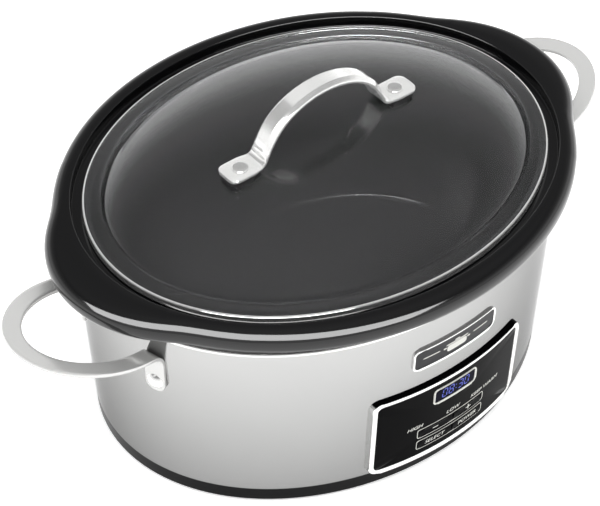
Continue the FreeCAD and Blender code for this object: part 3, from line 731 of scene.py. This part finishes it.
def joined(meshes: Iterable[BMesh]) -> BMesh:
    """Several meshes as one."""
    whole = bmesh.new()
    for part in meshes:
        data = bpy.data.meshes.new("part")
        part.to_mesh(data)
        part.free()
        whole.from_mesh(data)
        bpy.data.meshes.remove(data)
    return whole


def span(node: str) -> tuple[Vector, Vector]:
    """Lowest and highest corner of a CAD node, in millimetres."""
    low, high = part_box(node)
    return Vector(low) / MM, Vector(high) / MM


# ---- sub-assemblies ----


@dataclass
class HousingShell:
    """Brushed steel wall with a rolled bead at its top."""

    finishes: Finishes
    gauge: float = 1.0
    bead: float = 1.7
    wall: Housing = field(init=False)
    low: float = field(init=False)

    def __post_init__(self) -> None:
        """Read the wall's taper off the CAD shell and tray."""
        shell, tray = span("housing_shell"), span("base_tray")
        edge = self.bead - self.gauge / 2
        top = Oval(shell[1].x - edge, shell[1].y - edge)
        high = shell[1].z - self.bead
        share = tray[1].z / high
        base = Oval((tray[1].x - top.half_x * share) / (1 - share),
                    (tray[1].y - top.half_y * share) / (1 - share))
        self.wall = Housing(base, top, high)
        self.low = shell[0].z

    def build(self) -> None:
        """Make the wall with its bead."""
        top = self.wall.high - 1.2
        steps = 8
        heights = [self.low + (top - self.low) * k / steps for k in range(steps + 1)]
        rings = [Ring(self.wall.outline(height), height) for height in heights]
        rings += [Ring(self.wall.outline(height, -self.gauge), height) for height in reversed(heights)]
        finish_piece(oval_shell(rings, 240, looped=True), "housing_wall", Body.HOUSING.value,
                     self.finishes["brushed"], ["housing_shell"])
        middle = self.wall.outline(self.wall.high, -self.gauge / 2)
        turns = [math.tau * k / 16 for k in range(16)]
        bead = [Ring(middle.grown(self.bead * math.cos(turn)), self.wall.high + self.bead * math.sin(turn))
                for turn in turns]
        # The bead is the same sheet as the wall yet takes the brighter polished finish: in part a polished
        # roll, in part a lit copy standing in for the highlight along the top edge.
        finish_piece(oval_shell(bead, 240, looped=True), "housing_bead", Body.HOUSING.value,
                     self.finishes["polished"], ["housing_shell"])


@dataclass
class Crock:
    """Black stoneware crock with a flat flange, an ear at each end and a ledge for the lid."""

    finishes: Finishes
    foot: Oval = Oval(125.5, 94.5)
    neck: Oval = Oval(154.5, 123.5)
    shoulder: Oval = Oval(166.0, 134.0)
    shoulder_low: float = 141.0
    flange: Oval = Oval(175.3, 148.5, 81.4, 109.2)
    flange_low: float = 150.0
    web: float = 153.6
    lip: float = 8.5
    seat: Oval = Oval(165.0, 135.5)
    seat_height: float = 157.6
    wall: float = 6.5
    floor: float = 8.0

    def side(self, height: float, grow: float = 0.0) -> Oval:
        """Outline of the pot's tapered side at a height."""
        low = span("crock")[0].z
        return self.foot.toward(self.neck, (height - low) / (self.shoulder_low - low), grow)

    def build(self) -> None:
        """Make the crock as one closed shell."""
        low, high = (corner.z for corner in span("crock"))
        inside = low + self.floor
        centre = Oval(0.0, 0.0)
        rings = [
            Ring(centre, low),
            Ring(Oval(90.0, 62.0), low),
            Ring(self.side(low), low, 13.0),
            Ring(self.side(90.0), 90.0),
            Ring(self.neck, self.shoulder_low, 0.6),
            Ring(self.shoulder, self.shoulder_low, 1.2),
            Ring(self.shoulder, self.web, 0.8),
            Ring(self.flange.grown(-self.lip), self.web, 0.8),
            Ring(self.flange.grown(-self.lip), self.flange_low, 1.6),
            Ring(self.flange, self.flange_low, 4.8),
            Ring(self.flange, high, 8.0),
            Ring(self.seat, high, 1.3),
            Ring(self.seat, self.seat_height, 1.0),
            Ring(self.side(self.seat_height, -self.wall), self.seat_height, 1.6),
            Ring(self.side(90.0, -self.wall), 90.0),
            Ring(self.side(inside, -self.wall), inside, 14.0),
            Ring(Oval(85.0, 58.0), inside),
            Ring(centre, inside),
        ]
        finish_piece(oval_shell(rings, 240), "crock_pot", Body.CROCK.value, self.finishes["glaze"],
                     ["crock"], 50.0)


@dataclass
class Lid:
    """Domed glass with a flat ledge, held in a thin steel rim."""

    finishes: Finishes
    centre: float = 150.0
    dome: Oval = Oval(153.9, 122.9)
    gauge: float = 4.0
    ledge_low: float = 158.8
    ledge_high: float = 162.0
    inset: float = 1.2
    band: float = 1.5

    def cap(self, shrink: float, cut: float, count: int = 30) -> list[Ring]:
        """Level lines of the dome from its top down to a cut.

        Args:
            shrink: Distance inside the outer dome.
            cut: Height of the lowest line.
            count: Number of lines.

        Returns:
            The rings.
        """
        rise = span("lid_glass")[1].z - self.centre - shrink
        last = math.acos((cut - self.centre) / rise)
        rings = []
        for k in range(count + 1):
            turn = last * k / count
            oval = Oval((self.dome.half_x - shrink) * math.sin(turn),
                        (self.dome.half_y - shrink) * math.sin(turn))
            rings.append(Ring(oval, self.centre + rise * math.cos(turn)))
        return rings

    def build(self) -> None:
        """Make the glass and its rim."""
        low, high = span("lid_rim")
        rim = Oval(high.x, high.y)
        edge = rim.grown(-self.inset)
        outside = self.cap(0.0, self.ledge_high)
        inside = self.cap(self.gauge, self.ledge_low)
        outside[-1] = Ring(outside[-1].outline, outside[-1].height, 1.6)
        rings = [*outside, Ring(edge, self.ledge_high, 0.4), Ring(edge, self.ledge_low, 0.4), *reversed(inside)]
        finish_piece(oval_shell(rings, 240), "lid_dome", Body.LID.value, self.finishes["glass"],
                     ["lid_glass"], 60.0)
        band = [
            Ring(rim, low.z, 0.6), Ring(rim, high.z, 1.2), Ring(rim.grown(-self.band), high.z, 0.5),
            Ring(rim.grown(-self.band), self.ledge_high), Ring(edge, self.ledge_high),
            Ring(edge, self.ledge_low), Ring(rim.grown(-self.band), self.ledge_low),
            Ring(rim.grown(-self.band), low.z),
        ]
        finish_piece(oval_shell(band, 240, looped=True), "lid_band", Body.LID.value, self.finishes["polished"],
                     ["lid_rim"])


@dataclass
class BowHandle:
    """Bow of flat steel strap with rolled sides, riveted to the lid through two pads."""

    finishes: Finishes
    gauge: float = 2.4
    strap_width: float = 15.0
    foot_width: float = 19.0
    half_span: float = 47.0
    neck: float = 5.0
    corner: float = 5.2
    curl: float = 2.3
    rivet_x: float = 62.0
    head: float = 5.2
    dome: Oval = Oval(153.9, 122.9)
    dome_centre: float = 150.0

    def path(self) -> list[tuple[float, float, float, float]]:
        """Right half of the strap from its foot's end to the top of the arch.

        Returns:
            X, height, slope angle and distance from the foot's end for each station.
        """
        low, high = span("lid_handle")
        base = low.z + self.gauge / 2
        rise = high.z - self.gauge / 2 - base
        points: list[tuple[float, float]] = []
        end = high.x
        for share in (0.0, 0.012, 0.03, 0.06, 0.1, 0.15, 0.21, 0.3, 0.45, 0.6, 0.75, 0.88):
            points.append((end - (end - self.half_span - self.neck) * share, base))
        for k in range(9):
            turn = math.radians(90 * k / 8)
            points.append((self.half_span + self.neck - self.neck * math.sin(turn),
                           base + self.neck - self.neck * math.cos(turn)))
        first = math.asin(self.neck / rise)
        for k in range(1, 37):
            turn = first + (math.pi / 2 - first) * k / 36
            points.append((self.half_span * math.cos(turn), base + rise * math.sin(turn)))
        stations = []
        for k, (x, z) in enumerate(points):
            before, after = points[max(k - 1, 0)], points[min(k + 1, len(points) - 1)]
            slope = math.atan2(after[1] - before[1], before[0] - after[0])
            stations.append((x, z, 0.0 if k == len(points) - 1 else slope, end - x))
        return stations

    def stations(self) -> list[Station]:
        """Cross-sections from one foot's end over the arch to the other's."""
        low = span("lid_handle")[0].z
        right = []
        for x, z, slope, distance in self.path():
            lift = min(1.0, max(0.0, (z - low - 3.0) / 12.0))
            half = self.foot_width / 2 + (self.strap_width - self.foot_width) / 2 * min(1.0, max(0.0, (
                distance - 17.0) / 9.0))
            half = rounded_end(distance, half, self.corner)
            right.append((x, z, slope, 2 * half, 0.25 + (self.curl - 0.25) * lift))
        result = []
        for side in (1, -1):
            half_path = right if side > 0 else list(reversed(right[:-1]))
            for x, z, slope, width, curl in half_path:
                outward = Vector((side * math.sin(slope), 0.0, math.cos(slope)))
                result.append(Station(Vector((side * x, 0.0, z)), Vector((0.0, 1.0, 0.0)), outward, width,
                                      self.gauge, curl))
        return result

    def pad(self, side: int) -> BMesh:
        """Soft pad between a foot and the dome, its underside following the glass."""
        low = span("lid_handle")[0].z
        top = span("lid_glass")[1].z
        outline = RoundRect(22.6, 17.4, 5.0)
        centre = self.rivet_x - 0.4

        def glass(x: float, y: float) -> float:
            """Height of the dome's outside."""
            inside = 1 - (x / self.dome.half_x) ** 2 - (y / self.dome.half_y) ** 2
            return self.dome_centre + (top - self.dome_centre) * math.sqrt(inside)

        shares = ((0.0, 0), (0.5, 0), (1.0, 0), (1.0, 1), (0.5, 1), (0.0, 1))
        steps = 64

        def place(ring: int, step: int) -> Point:
            """Point of the pad, clear of the glass below it."""
            share, upper = shares[ring]
            x, y = outline.shrunk_to(share).at(step / steps)
            x = side * (x + centre)
            return x * MM, y * MM, (low if upper else min(glass(x, y) + 0.02, low - 0.02)) * MM

        return lattice(len(shares), steps, place)

    def build(self) -> None:
        """Make the bow, its pads and its rivets."""
        low = span("lid_handle")[0].z
        finish_piece(strap(self.stations()), "lid_bow", Body.LID.value, self.finishes["grip"],
                     ["lid_handle"], 30.0)
        finish_piece(joined(self.pad(side) for side in (1, -1)), "lid_pads", Body.LID.value,
                     self.finishes["rubber"], ["handle_pads"])
        top = low + self.gauge
        bottom = span("lid_rivets")[0].z
        head = [(0.0, 1.3), (3.2, 1.28), (4.5, 1.18), (4.95, 0.95), (self.head, 0.55), (self.head, -0.1),
                (3.0, -0.1), (3.0, bottom - top + 1.0), (4.2, bottom - top + 0.9), (4.2, bottom - top + 0.1),
                (4.0, bottom - top), (0.0, bottom - top)]
        rivets = [moved(turned(head), Vector((side * self.rivet_x, 0.0, top))) for side in (1, -1)]
        finish_piece(joined(rivets), "lid_handle_rivets", Body.LID.value, self.finishes["grip"],
                     ["lid_rivets"], 40.0)


@dataclass
class SideHandles:
    """Two flat strap loops, tilted up, each bent down into two riveted tabs."""

    finishes: Finishes
    wall: Housing
    width: float = 11.6
    gauge: float = 2.6
    pivot: float = 165.6
    pivot_height: float = 125.4
    tilt: float = 12.1
    middle: float = 10.33
    half: Oval = Oval(51.1, 42.2)
    end_turn: float = 101.0
    tab_spot: tuple[float, float] = (157.8, 39.0)
    tab_turn: float = 20.8
    tab_width: float = 14.0
    tab_high: float = 114.5
    tab_low: float = 92.0
    rivet_height: float = 100.0
    head: float = 5.6

    def loop(self, turn: float) -> tuple[Vector, Vector, Vector]:
        """Point, inward width direction and travel direction on the right loop at an angle."""
        tilt = math.radians(self.tilt)
        along = Vector((math.cos(tilt), 0.0, math.sin(tilt)))
        side = Vector((0.0, 1.0, 0.0))
        x, y = self.half.half_x * math.cos(turn), self.half.half_y * math.sin(turn)
        spot = Vector((self.pivot, 0.0, self.pivot_height)) + along * (self.middle + x) + side * y
        travel = (along * (-self.half.half_x * math.sin(turn)) + side * (self.half.half_y * math.cos(turn)))
        travel.normalize()
        normal = along.cross(side)
        return spot, normal.cross(travel), travel

    def tab_out(self) -> Vector:
        """Outward direction of the back tab on the right."""
        turn = math.radians(self.tab_turn)
        return Vector((math.cos(turn), math.sin(turn), 0.0))

    def back_half(self) -> list[Station]:
        """Cross-sections from the loop's outer middle to the end of its back tab."""
        last = math.radians(self.end_turn)
        stations = []
        for k in range(31):
            spot, across, travel = self.loop(last * k / 30)
            stations.append(Station(spot, across, travel.cross(across), self.width, self.gauge))
        spot, across, travel = self.loop(last)
        outward = self.tab_out()
        face = Vector((*self.tab_spot, 0.0)) + outward * (self.gauge / 2 + 0.15)
        knee = Vector((face.x, face.y, self.tab_high))
        tangent = Vector((-outward.y, outward.x, 0.0))
        across_end = tangent if tangent.dot(across) > 0 else -tangent
        points = (spot, spot + travel * 4.5, knee + Vector((0, 0, 7.5)), knee)
        count = 14
        for k in range(1, count + 1):
            u = k / count
            weights = ((1 - u) ** 3, 3 * u * (1 - u) ** 2, 3 * u * u * (1 - u), u**3)
            middle = sum((point * weight for point, weight in zip(points, weights)), Vector())
            slope = (3 * (1 - u) ** 2 * (points[1] - points[0]) + 6 * u * (1 - u) * (points[2] - points[1])
                     + 3 * u * u * (points[3] - points[2])).normalized()
            ease = u * u * (3 - 2 * u)
            wide = across.lerp(across_end, ease)
            wide = (wide - slope * wide.dot(slope)).normalized()
            stations.append(Station(middle, wide, slope.cross(wide),
                                    self.width + (self.tab_width - self.width) * ease, self.gauge))
        drop = knee.z - self.tab_low
        for share in (0.25, 0.5, 0.7, 0.8, 0.87, 0.92, 0.96, 0.985, 1.0):
            distance = drop * (1 - share)
            half = rounded_end(distance, self.tab_width / 2, 6.0)
            spot = Vector((knee.x, knee.y, knee.z - drop * share))
            last_station = stations[-1]
            stations.append(Station(spot, across_end, last_station.outward, 2 * half, self.gauge))
        return stations

    def build_side(self, side: int, name: str, node: str) -> None:
        """Make one loop.

        Args:
            side: 1 for the right loop, -1 for the left.
            name: Piece name.
            node: CAD node it stands for.
        """
        flip = Vector((1.0, -1.0, 1.0))
        back = self.back_half()
        front = [Station(item.middle * flip, item.across * flip, item.outward * flip, item.width,
                         item.gauge) for item in back[1:]]
        mesh = strap([*reversed(front), *back])
        if side < 0:
            bmesh.ops.transform(mesh, matrix=Matrix.Diagonal((-1.0, 1.0, 1.0, 1.0)), verts=mesh.verts)
        finish_piece(mesh, name, Body.HOUSING.value, self.finishes["strap"], [node], 30.0)

    def build(self) -> None:
        """Make both loops and their four rivets."""
        self.build_side(1, "right_loop", "side_handle_right")
        self.build_side(-1, "left_loop", "side_handle_left")
        cap, sphere = [], self.head * 1.25
        drop = math.sqrt(sphere**2 - self.head**2)
        for k in range(9):
            turn = math.asin(self.head / sphere) * k / 8
            cap.append((sphere * math.sin(turn), sphere * math.cos(turn) - drop))
        profile = [*cap, (self.head, -0.3), (2.5, -0.3), (2.5, -9.5), (0.0, -9.5)]
        rivets = []
        for x_side in (1, -1):
            for y_side in (1, -1):
                outward = self.tab_out() * Vector((x_side, y_side, 1.0))
                spot = Vector((x_side * self.tab_spot[0], y_side * self.tab_spot[1], self.rivet_height))
                rivets.append(moved(turned(profile), spot + outward * (self.gauge + 0.2), outward))
        finish_piece(joined(rivets), "side_handle_rivets", Body.HOUSING.value, self.finishes["polished"],
                     ["handle_rivets"], 40.0)


SEGMENTS = {"0": "abcdef", "3": "abcdg", "8": "abcdefg"}


@dataclass
class ControlPanel:
    """Chrome bezel with its upward faces painted black as a reflection of the flange, glossy face, display,
    keys and their printed marks, all following the wall.
    """

    finishes: Finishes
    wall: Housing
    corner: float = 7.0
    border: float = 3.4
    proud: float = 4.4
    face: float = 3.8
    lcd: RoundRect = RoundRect(35.4, 14.0, 3.0)
    lcd_height: float = 67.0
    lcd_border: float = 1.2
    strip: RoundRect = RoundRect(55.6, 8.2, 1.6)
    strips: tuple[float, float] = (37.8, 27.0)
    line: float = 0.4
    key_rise: float = 0.48
    key_gap: tuple[float, float] = (1.8, 1.4)
    sign_bar: tuple[float, float] = (4.6, 0.6)
    letter: float = 4.1
    words_height: float = 45.4

    def outline(self) -> tuple[RoundRect, float]:
        """The bezel's outer border and the height of its middle."""
        low, high = span("control_bezel")
        return RoundRect(high.x - low.x, high.z - low.z, self.corner), (high.z + low.z) / 2

    def frame(self, outer: RoundRect, width: float, back: float, front: float, soft: float,
              centre: tuple[float, float]) -> BMesh:
        """Raised border of a width with softened front edges."""
        inner = outer.grown(-width)
        levels = [Level(outer, back), Level(outer, front, soft), Level(inner, front, soft), Level(inner, back)]
        return wall_plate(self.wall, levels, centre, looped=True)

    def digits(self, text: str, height: float, centre: tuple[float, float]) -> list[BMesh]:
        """Seven-segment figures laid on the display.

        Args:
            text: Figures and a colon.
            height: Figure height.
            centre: Middle of the line.

        Returns:
            One mesh per segment.
        """
        width, bar, pitch = height * 0.42, height * 0.1, height * 0.66
        spots = {"a": (0, 1, 0), "b": (1, 0.5, 1), "c": (1, -0.5, 1), "d": (0, -1, 0), "e": (-1, -0.5, 1),
                 "f": (-1, 0.5, 1), "g": (0, 0, 0)}
        span_off = (self.face, self.face + 0.16)
        places, cursor = [], 0.0
        for mark in text:
            step = pitch if mark != ":" else pitch * 0.45
            places.append((mark, cursor + step / 2))
            cursor += step
        meshes = []
        for mark, place in places:
            middle = centre[0] + place - cursor / 2
            if mark == ":":
                for side in (1, -1):
                    meshes.append(self.chip(bar, bar, (middle, centre[1] + side * height * 0.2), *span_off))
                continue
            for key in SEGMENTS[mark]:
                x, z, upright = spots[key]
                long = height * 0.36
                size = (bar, long) if upright else (width * 0.72, bar)
                lean = z * height * 0.5 * 0.12
                spot = (middle + x * width / 2 + lean, centre[1] + z * height * 0.43)
                meshes.append(self.chip(*size, spot, *span_off))
        return meshes

    def chip(self, width: float, height: float, centre: tuple[float, float], low: float,
             high: float) -> BMesh:
        """Small flat bar on the display or face."""
        outline = RoundRect(width, height, min(width, height) * 0.3)
        levels = [Level(outline.shrunk_to(0.0), low), Level(outline, low), Level(outline, high),
                  Level(outline.shrunk_to(0.0), high)]
        return wall_plate(self.wall, levels, centre, 24)

    def words(self, text: str, height: float, centre: tuple[float, float], proud: float) -> BMesh:
        """Plain function words printed on the face.

        Args:
            text: The words.
            height: Letter size.
            centre: Middle of the words.
            proud: Height off the wall.

        Returns:
            Their mesh, laid on the wall.
        """
        curve = bpy.data.curves.new("words", "FONT")
        curve.body, curve.size = text, height
        curve.align_x, curve.align_y = "CENTER", "CENTER"
        curve.shear = 0.25
        curve.extrude = 0.06
        holder = bpy.data.objects.new("words", curve)
        bpy.context.scene.collection.objects.link(holder)
        data = bpy.data.meshes.new_from_object(holder.evaluated_get(bpy.context.evaluated_depsgraph_get()))
        mesh = bmesh.new()
        mesh.from_mesh(data)
        bpy.data.meshes.remove(data)
        bpy.data.objects.remove(holder)
        bpy.data.curves.remove(curve)
        bmesh.ops.remove_doubles(mesh, verts=mesh.verts, dist=1e-5)
        for vert in mesh.verts:
            x, z, lift = vert.co
            vert.co = self.wall.front(x * 1.15 + centre[0], z + centre[1], proud + lift)
        return mesh

    def build_keys(self) -> None:
        """Make the four keys, each on its own body, and the lines printed round them."""
        step, top = self.strip.width / 4, self.face + self.key_rise
        key = RoundRect((self.strip.width - 2 * self.line) / 2 - self.key_gap[0],
                        self.strip.height - 2 * self.line - self.key_gap[1], 1.0)
        plan = (("key_minus", -1, 0), ("key_plus", 1, 0), ("key_select", -1, 1), ("key_power", 1, 1))
        for name, side, row in plan:
            centre = (side * step, self.strips[row])
            finish_piece(wall_plate(self.wall, slab_levels(key, -0.2, top, 0.25), centre, 96),
                         name + "_cap", name + "_body", self.finishes["panel"], [name])
            if row:
                mark = self.words("SELECT" if side < 0 else "POWER", self.letter, centre, top + 0.02)
            else:
                bars = [self.chip(*self.sign_bar, centre, top - 0.05, top + 0.1)]
                if side > 0:
                    bars.append(self.chip(*reversed(self.sign_bar), centre, top - 0.05, top + 0.11))
                mark = joined(bars)
            finish_piece(mark, name + "_mark", name + "_body", self.finishes["print"])
        lines = [self.frame(self.strip, self.line, self.face - 0.05, self.face + 0.25, 0.08,
                            (0.0, height)) for height in self.strips]
        finish_piece(joined(lines), "key_lines", Body.HOUSING.value, self.finishes["print"],
                     ["key_outlines"])

    def build(self) -> None:
        """Make the whole panel."""
        outer, middle = self.outline()
        body = Body.HOUSING.value
        bezel = finish_piece(self.frame(outer, self.border, 0.05, self.proud, 0.5, (0.0, middle)),
                             "panel_bezel", body, self.finishes["polished"],
                             ["control_bezel"])
        # Painted reflection: the bezel's upward faces take the black panel finish, standing in for the dark
        # flange they would mirror.
        bezel.data.materials.append(self.finishes["panel"])
        for face in bezel.data.polygons:
            face.material_index = int(face.normal.z > 0.6)
        inner = outer.grown(-self.border + 0.05)
        face = finish_piece(wall_plate(self.wall, slab_levels(inner, 0.05, self.face, 0.2), (0.0, middle)),
                            "panel_gloss_face", body, self.finishes["panel"], ["panel_face"])
        bezel.visible_glossy = face.visible_glossy = False
        finish_piece(self.frame(self.lcd, self.lcd_border, self.face - 0.2, self.face + 0.5, 0.35,
                                (0.0, self.lcd_height)), "display_border", body, self.finishes["print"],
                     ["lcd_frame"])
        pane = self.lcd.grown(-self.lcd_border)
        finish_piece(wall_plate(self.wall, slab_levels(pane, self.face - 0.3, self.face + 0.06, 0.03),
                                (0.0, self.lcd_height), 96), "display_pane", body, self.finishes["pane"],
                     ["lcd_window"])
        digits = joined(self.digits("08:30", 8.0, (0.5, self.lcd_height)))
        finish_piece(digits, "display_digits", body, self.finishes["digit"])
        labels = [("HIGH", -30.0), ("LOW", 0.0), ("KEEP WARM", 28.6)]
        printed = joined(self.words(text, self.letter, (x, self.words_height), self.face + 0.06)
                         for text, x in labels)
        finish_piece(printed, "mode_words", body, self.finishes["print"])
        self.build_keys()


@dataclass
class Badge:
    """Dark plate with a pale border and a plain pot sign, above the panel."""

    finishes: Finishes
    panel: ControlPanel
    corner: float = 4.5
    border: float = 1.5

    def build(self) -> None:
        """Make the plate, its border and the sign."""
        low, high = span("badge_frame")
        centre = (0.0, (low.z + high.z) / 2)
        outline = RoundRect(high.x - low.x, high.z - low.z, self.corner)
        body = Body.HOUSING.value
        finish_piece(self.panel.frame(outline, self.border, 0.05, 1.2, 0.3, centre), "badge_border", body,
                     self.finishes["polished"], ["badge_frame"])
        inner = outline.grown(-self.border + 0.05)
        finish_piece(wall_plate(self.panel.wall, slab_levels(inner, 0.05, 0.8, 0.1), centre),
                     "badge_face", body, self.finishes["badge"], ["badge_plate"])
        sign = []
        for width, height, x, z in ((16.0, 5.2, 0.0, -2.0), (18.5, 1.0, 0.0, 1.6), (4.0, 1.0, 0.0, 3.0),
                                    (2.4, 1.2, -9.6, -0.6), (2.4, 1.2, 9.6, -0.6),
                                    (13.0, 0.8, -20.0, 0.0), (13.0, 0.8, 20.0, 0.0)):
            sign.append(self.panel.chip(width, height, (x, centre[1] + z), 0.75, 0.92))
        finish_piece(joined(sign), "badge_sign", body, self.finishes["print"])


CAD_FINISHES = {
    "base_tray": "tray", "rubber_feet": "rubber", "cord_gland": "moulding", "gland_nut": "moulding",
    "control_case": "moulding", "relay": "moulding", "capacitor": "moulding", "lcd_module": "moulding",
    "key_domes": "rubber", "lid_washers": "rubber", "power_board": "board", "display_board": "board",
    "terminal_block": "white", "heater_band": "wrap", "inner_liner": "aluminium",
    "temperature_sensor": "aluminium", "thermal_fuse": "polished",
}


@dataclass
class CadNodes:
    """CAD nodes that keep their own meshes and get a finish."""

    finishes: Finishes
    nodes: dict[str, bpy.types.Object]

    def dress(self) -> None:
        """Put a finish on every node, plain sheet steel where none is named."""
        for name, node in self.nodes.items():
            material = self.finishes[CAD_FINISHES.get(name, "sheet")]
            if not node.material_slots:
                node.data.materials.append(material)
            for item in node.material_slots:
                item.material = material
        LOG.info("%d CAD nodes dressed", len(self.nodes))


# ---- studio ----


@dataclass(frozen=True)
class CameraPlace:
    """Where the camera stands, as distances in metres and angles in degrees."""

    focal: float = 2040.46
    centre: tuple[float, float] = (341.2, 261.1)
    azimuth: float = -40.16
    elevation: float = 43.37
    roll: float = 0.81
    distance: float = 1.3512
    target: Point = (0.0125, -0.0083, 0.0736)
    frame: tuple[int, int] = (600, 506)

    def build(self) -> None:
        """Create the camera and make it the scene's own."""
        turn, lift, roll = (math.radians(a) for a in (self.azimuth, self.elevation, self.roll))
        back = Vector((math.sin(turn) * math.cos(lift), -math.cos(turn) * math.cos(lift), math.sin(lift)))
        right = Vector((math.cos(turn), math.sin(turn), 0.0))
        up = back.cross(right)
        across = right * math.cos(roll) + up * math.sin(roll)
        above = up * math.cos(roll) - right * math.sin(roll)
        data = bpy.data.cameras.new("studio_camera")
        data.sensor_width = 36.0
        data.lens = self.focal / self.frame[0] * data.sensor_width
        data.shift_x = (self.frame[0] / 2 - self.centre[0]) / self.frame[0]
        data.shift_y = (self.centre[1] - self.frame[1] / 2) / self.frame[0]
        data.clip_start, data.clip_end = 0.01, 30.0
        camera = bpy.data.objects.new("studio_camera", data)
        matrix = Matrix((across, above, back)).transposed().to_4x4()
        matrix.translation = Vector(self.target) + back * self.distance
        camera.matrix_world = matrix
        bpy.context.scene.collection.objects.link(camera)
        bpy.context.scene.camera = camera


@dataclass(frozen=True)
class Lamp:
    """Soft rectangular studio lamp aimed at the cooker."""

    name: str
    azimuth: float
    elevation: float
    distance: float
    size: tuple[float, float]
    power: float
    glossy: bool = False
    diffuse: bool = True
    only: tuple[str, ...] = ()
    inside: bool = False

    def build(self) -> None:
        """Hang the lamp."""
        data = bpy.data.lights.new(self.name, "AREA")
        data.shape, data.energy = "RECTANGLE", self.power
        data.size, data.size_y = self.size
        lamp = bpy.data.objects.new(self.name, data)
        turn, lift = math.radians(self.azimuth), math.radians(self.elevation)
        back = Vector((math.sin(turn) * math.cos(lift), -math.cos(turn) * math.cos(lift), math.sin(lift)))
        lamp.location = back * self.distance + Vector((0.0, 0.0, 0.1))
        lamp.rotation_euler = back.to_track_quat("Z", "Y").to_euler()
        lamp.visible_glossy, lamp.visible_diffuse = self.glossy, self.diffuse
        lamp.visible_transmission = self.inside
        if self.only:
            group = bpy.data.collections.new(self.name + "_pieces")
            for name in self.only:
                group.objects.link(bpy.data.objects[name])
            lamp.light_linking.receiver_collection = group
        bpy.context.scene.collection.objects.link(lamp)


@dataclass
class Studio:
    """Plain pale floor, soft light all round and the camera."""

    lamps: tuple[Lamp, ...] = (
        Lamp("key_lamp", -75.0, 60.0, 2.0, (1.6, 1.6), 15.0),
        Lamp("fill_lamp", 20.0, 62.0, 2.2, (1.8, 1.8), 13.0),
        Lamp("top_lamp", 0.0, 88.0, 2.4, (3.2, 3.2), 34.0),
        Lamp("edge_lamp", -48.0, 42.0, 2.2, (6.4, 1.8), 430.0, True, False, ("crock_pot",)),
        Lamp("metal_strip", -40.0, 30.0, 2.2, (2.4, 0.5), 42.0, True, False,
             ("lid_bow", "lid_band", "lid_handle_rivets")),
        Lamp("back_card", 140.0, 46.0, 2.4, (3.0, 3.0), 13.0, True, False,
             ("lid_bow", "lid_band", "left_loop", "right_loop")),
        Lamp("floor_arc", -40.0, 36.0, 2.2, (4.0, 0.5), 240.0, False, False, ("lid_dome",), True),
    )
    sky_levels: tuple[tuple[float, float], ...] = ((0.0, 1.0), (0.2, 1.0), (0.42, 0.4), (0.65, 0.2), (1.0, 0.4))
    floor_glow: float = 0.5
    floor_size: float = 8.0

    def floor(self) -> None:
        """Lay the floor."""
        mesh = bmesh.new()
        bmesh.ops.create_grid(mesh, x_segments=1, y_segments=1, size=self.floor_size)
        data = bpy.data.meshes.new("floor")
        mesh.to_mesh(data)
        mesh.free()
        floor = bpy.data.objects.new("floor", data)
        bpy.context.scene.collection.objects.link(floor)
        graph = Graph("pale_floor")
        graph.shader.inputs["Specular IOR Level"].default_value = 0.2
        graph.shader.inputs["Emission Color"].default_value = (1.0, 1.0, 1.0, 1.0)
        graph.shader.inputs["Emission Strength"].default_value = self.floor_glow
        cloud = graph.noise((3.0, 3.0, 3.0), 2.0)
        graph.tint(cloud, (0.93, 0.93, 0.93), (0.95, 0.95, 0.95))
        graph.spread(cloud, 0.75, 0.85, "Roughness")
        data.materials.append(graph.material)

    def sky(self) -> None:
        """Light the surroundings, bright low down and dimmer overhead."""
        world = bpy.data.worlds.new("studio")
        world.use_nodes = True
        tree = world.node_tree
        tree.nodes.clear()
        output = tree.nodes.new("ShaderNodeOutputWorld")
        back = tree.nodes.new("ShaderNodeBackground")
        place = tree.nodes.new("ShaderNodeTexCoord")
        split = tree.nodes.new("ShaderNodeSeparateXYZ")
        ramp = tree.nodes.new("ShaderNodeValToRGB")
        tree.links.new(place.outputs["Generated"], split.inputs[0])
        tree.links.new(split.outputs["Z"], ramp.inputs["Fac"])
        tree.links.new(ramp.outputs["Color"], back.inputs["Color"])
        tree.links.new(back.outputs[0], output.inputs[0])
        while len(ramp.color_ramp.elements) < len(self.sky_levels):
            ramp.color_ramp.elements.new(0.5)
        for element, (spot, level) in zip(ramp.color_ramp.elements, self.sky_levels):
            element.position = spot
            element.color = (level, level, level, 1.0)
        bpy.context.scene.world = world

    def build(self) -> None:
        """Set the whole studio up."""
        self.floor()
        self.sky()
        for lamp in self.lamps:
            lamp.build()
        CameraPlace().build()
        bpy.context.scene.view_settings.view_transform = "Standard"
        bpy.context.scene.view_settings.look = "None"


def main() -> None:
    """Dress the frame, build every sub-assembly and light it."""
    logging.basicConfig(level=logging.INFO, format="%(name)s: %(message)s")
    finishes = Finishes()
    CadNodes(finishes, frame["nodes"]).dress()
    housing = HousingShell(finishes)
    housing.build()
    Crock(finishes).build()
    Lid(finishes).build()
    BowHandle(finishes).build()
    SideHandles(finishes, housing.wall).build()
    panel = ControlPanel(finishes, housing.wall)
    panel.build()
    Badge(finishes, panel).build()
    Studio().build()


if __name__ == "__main__":
    main()
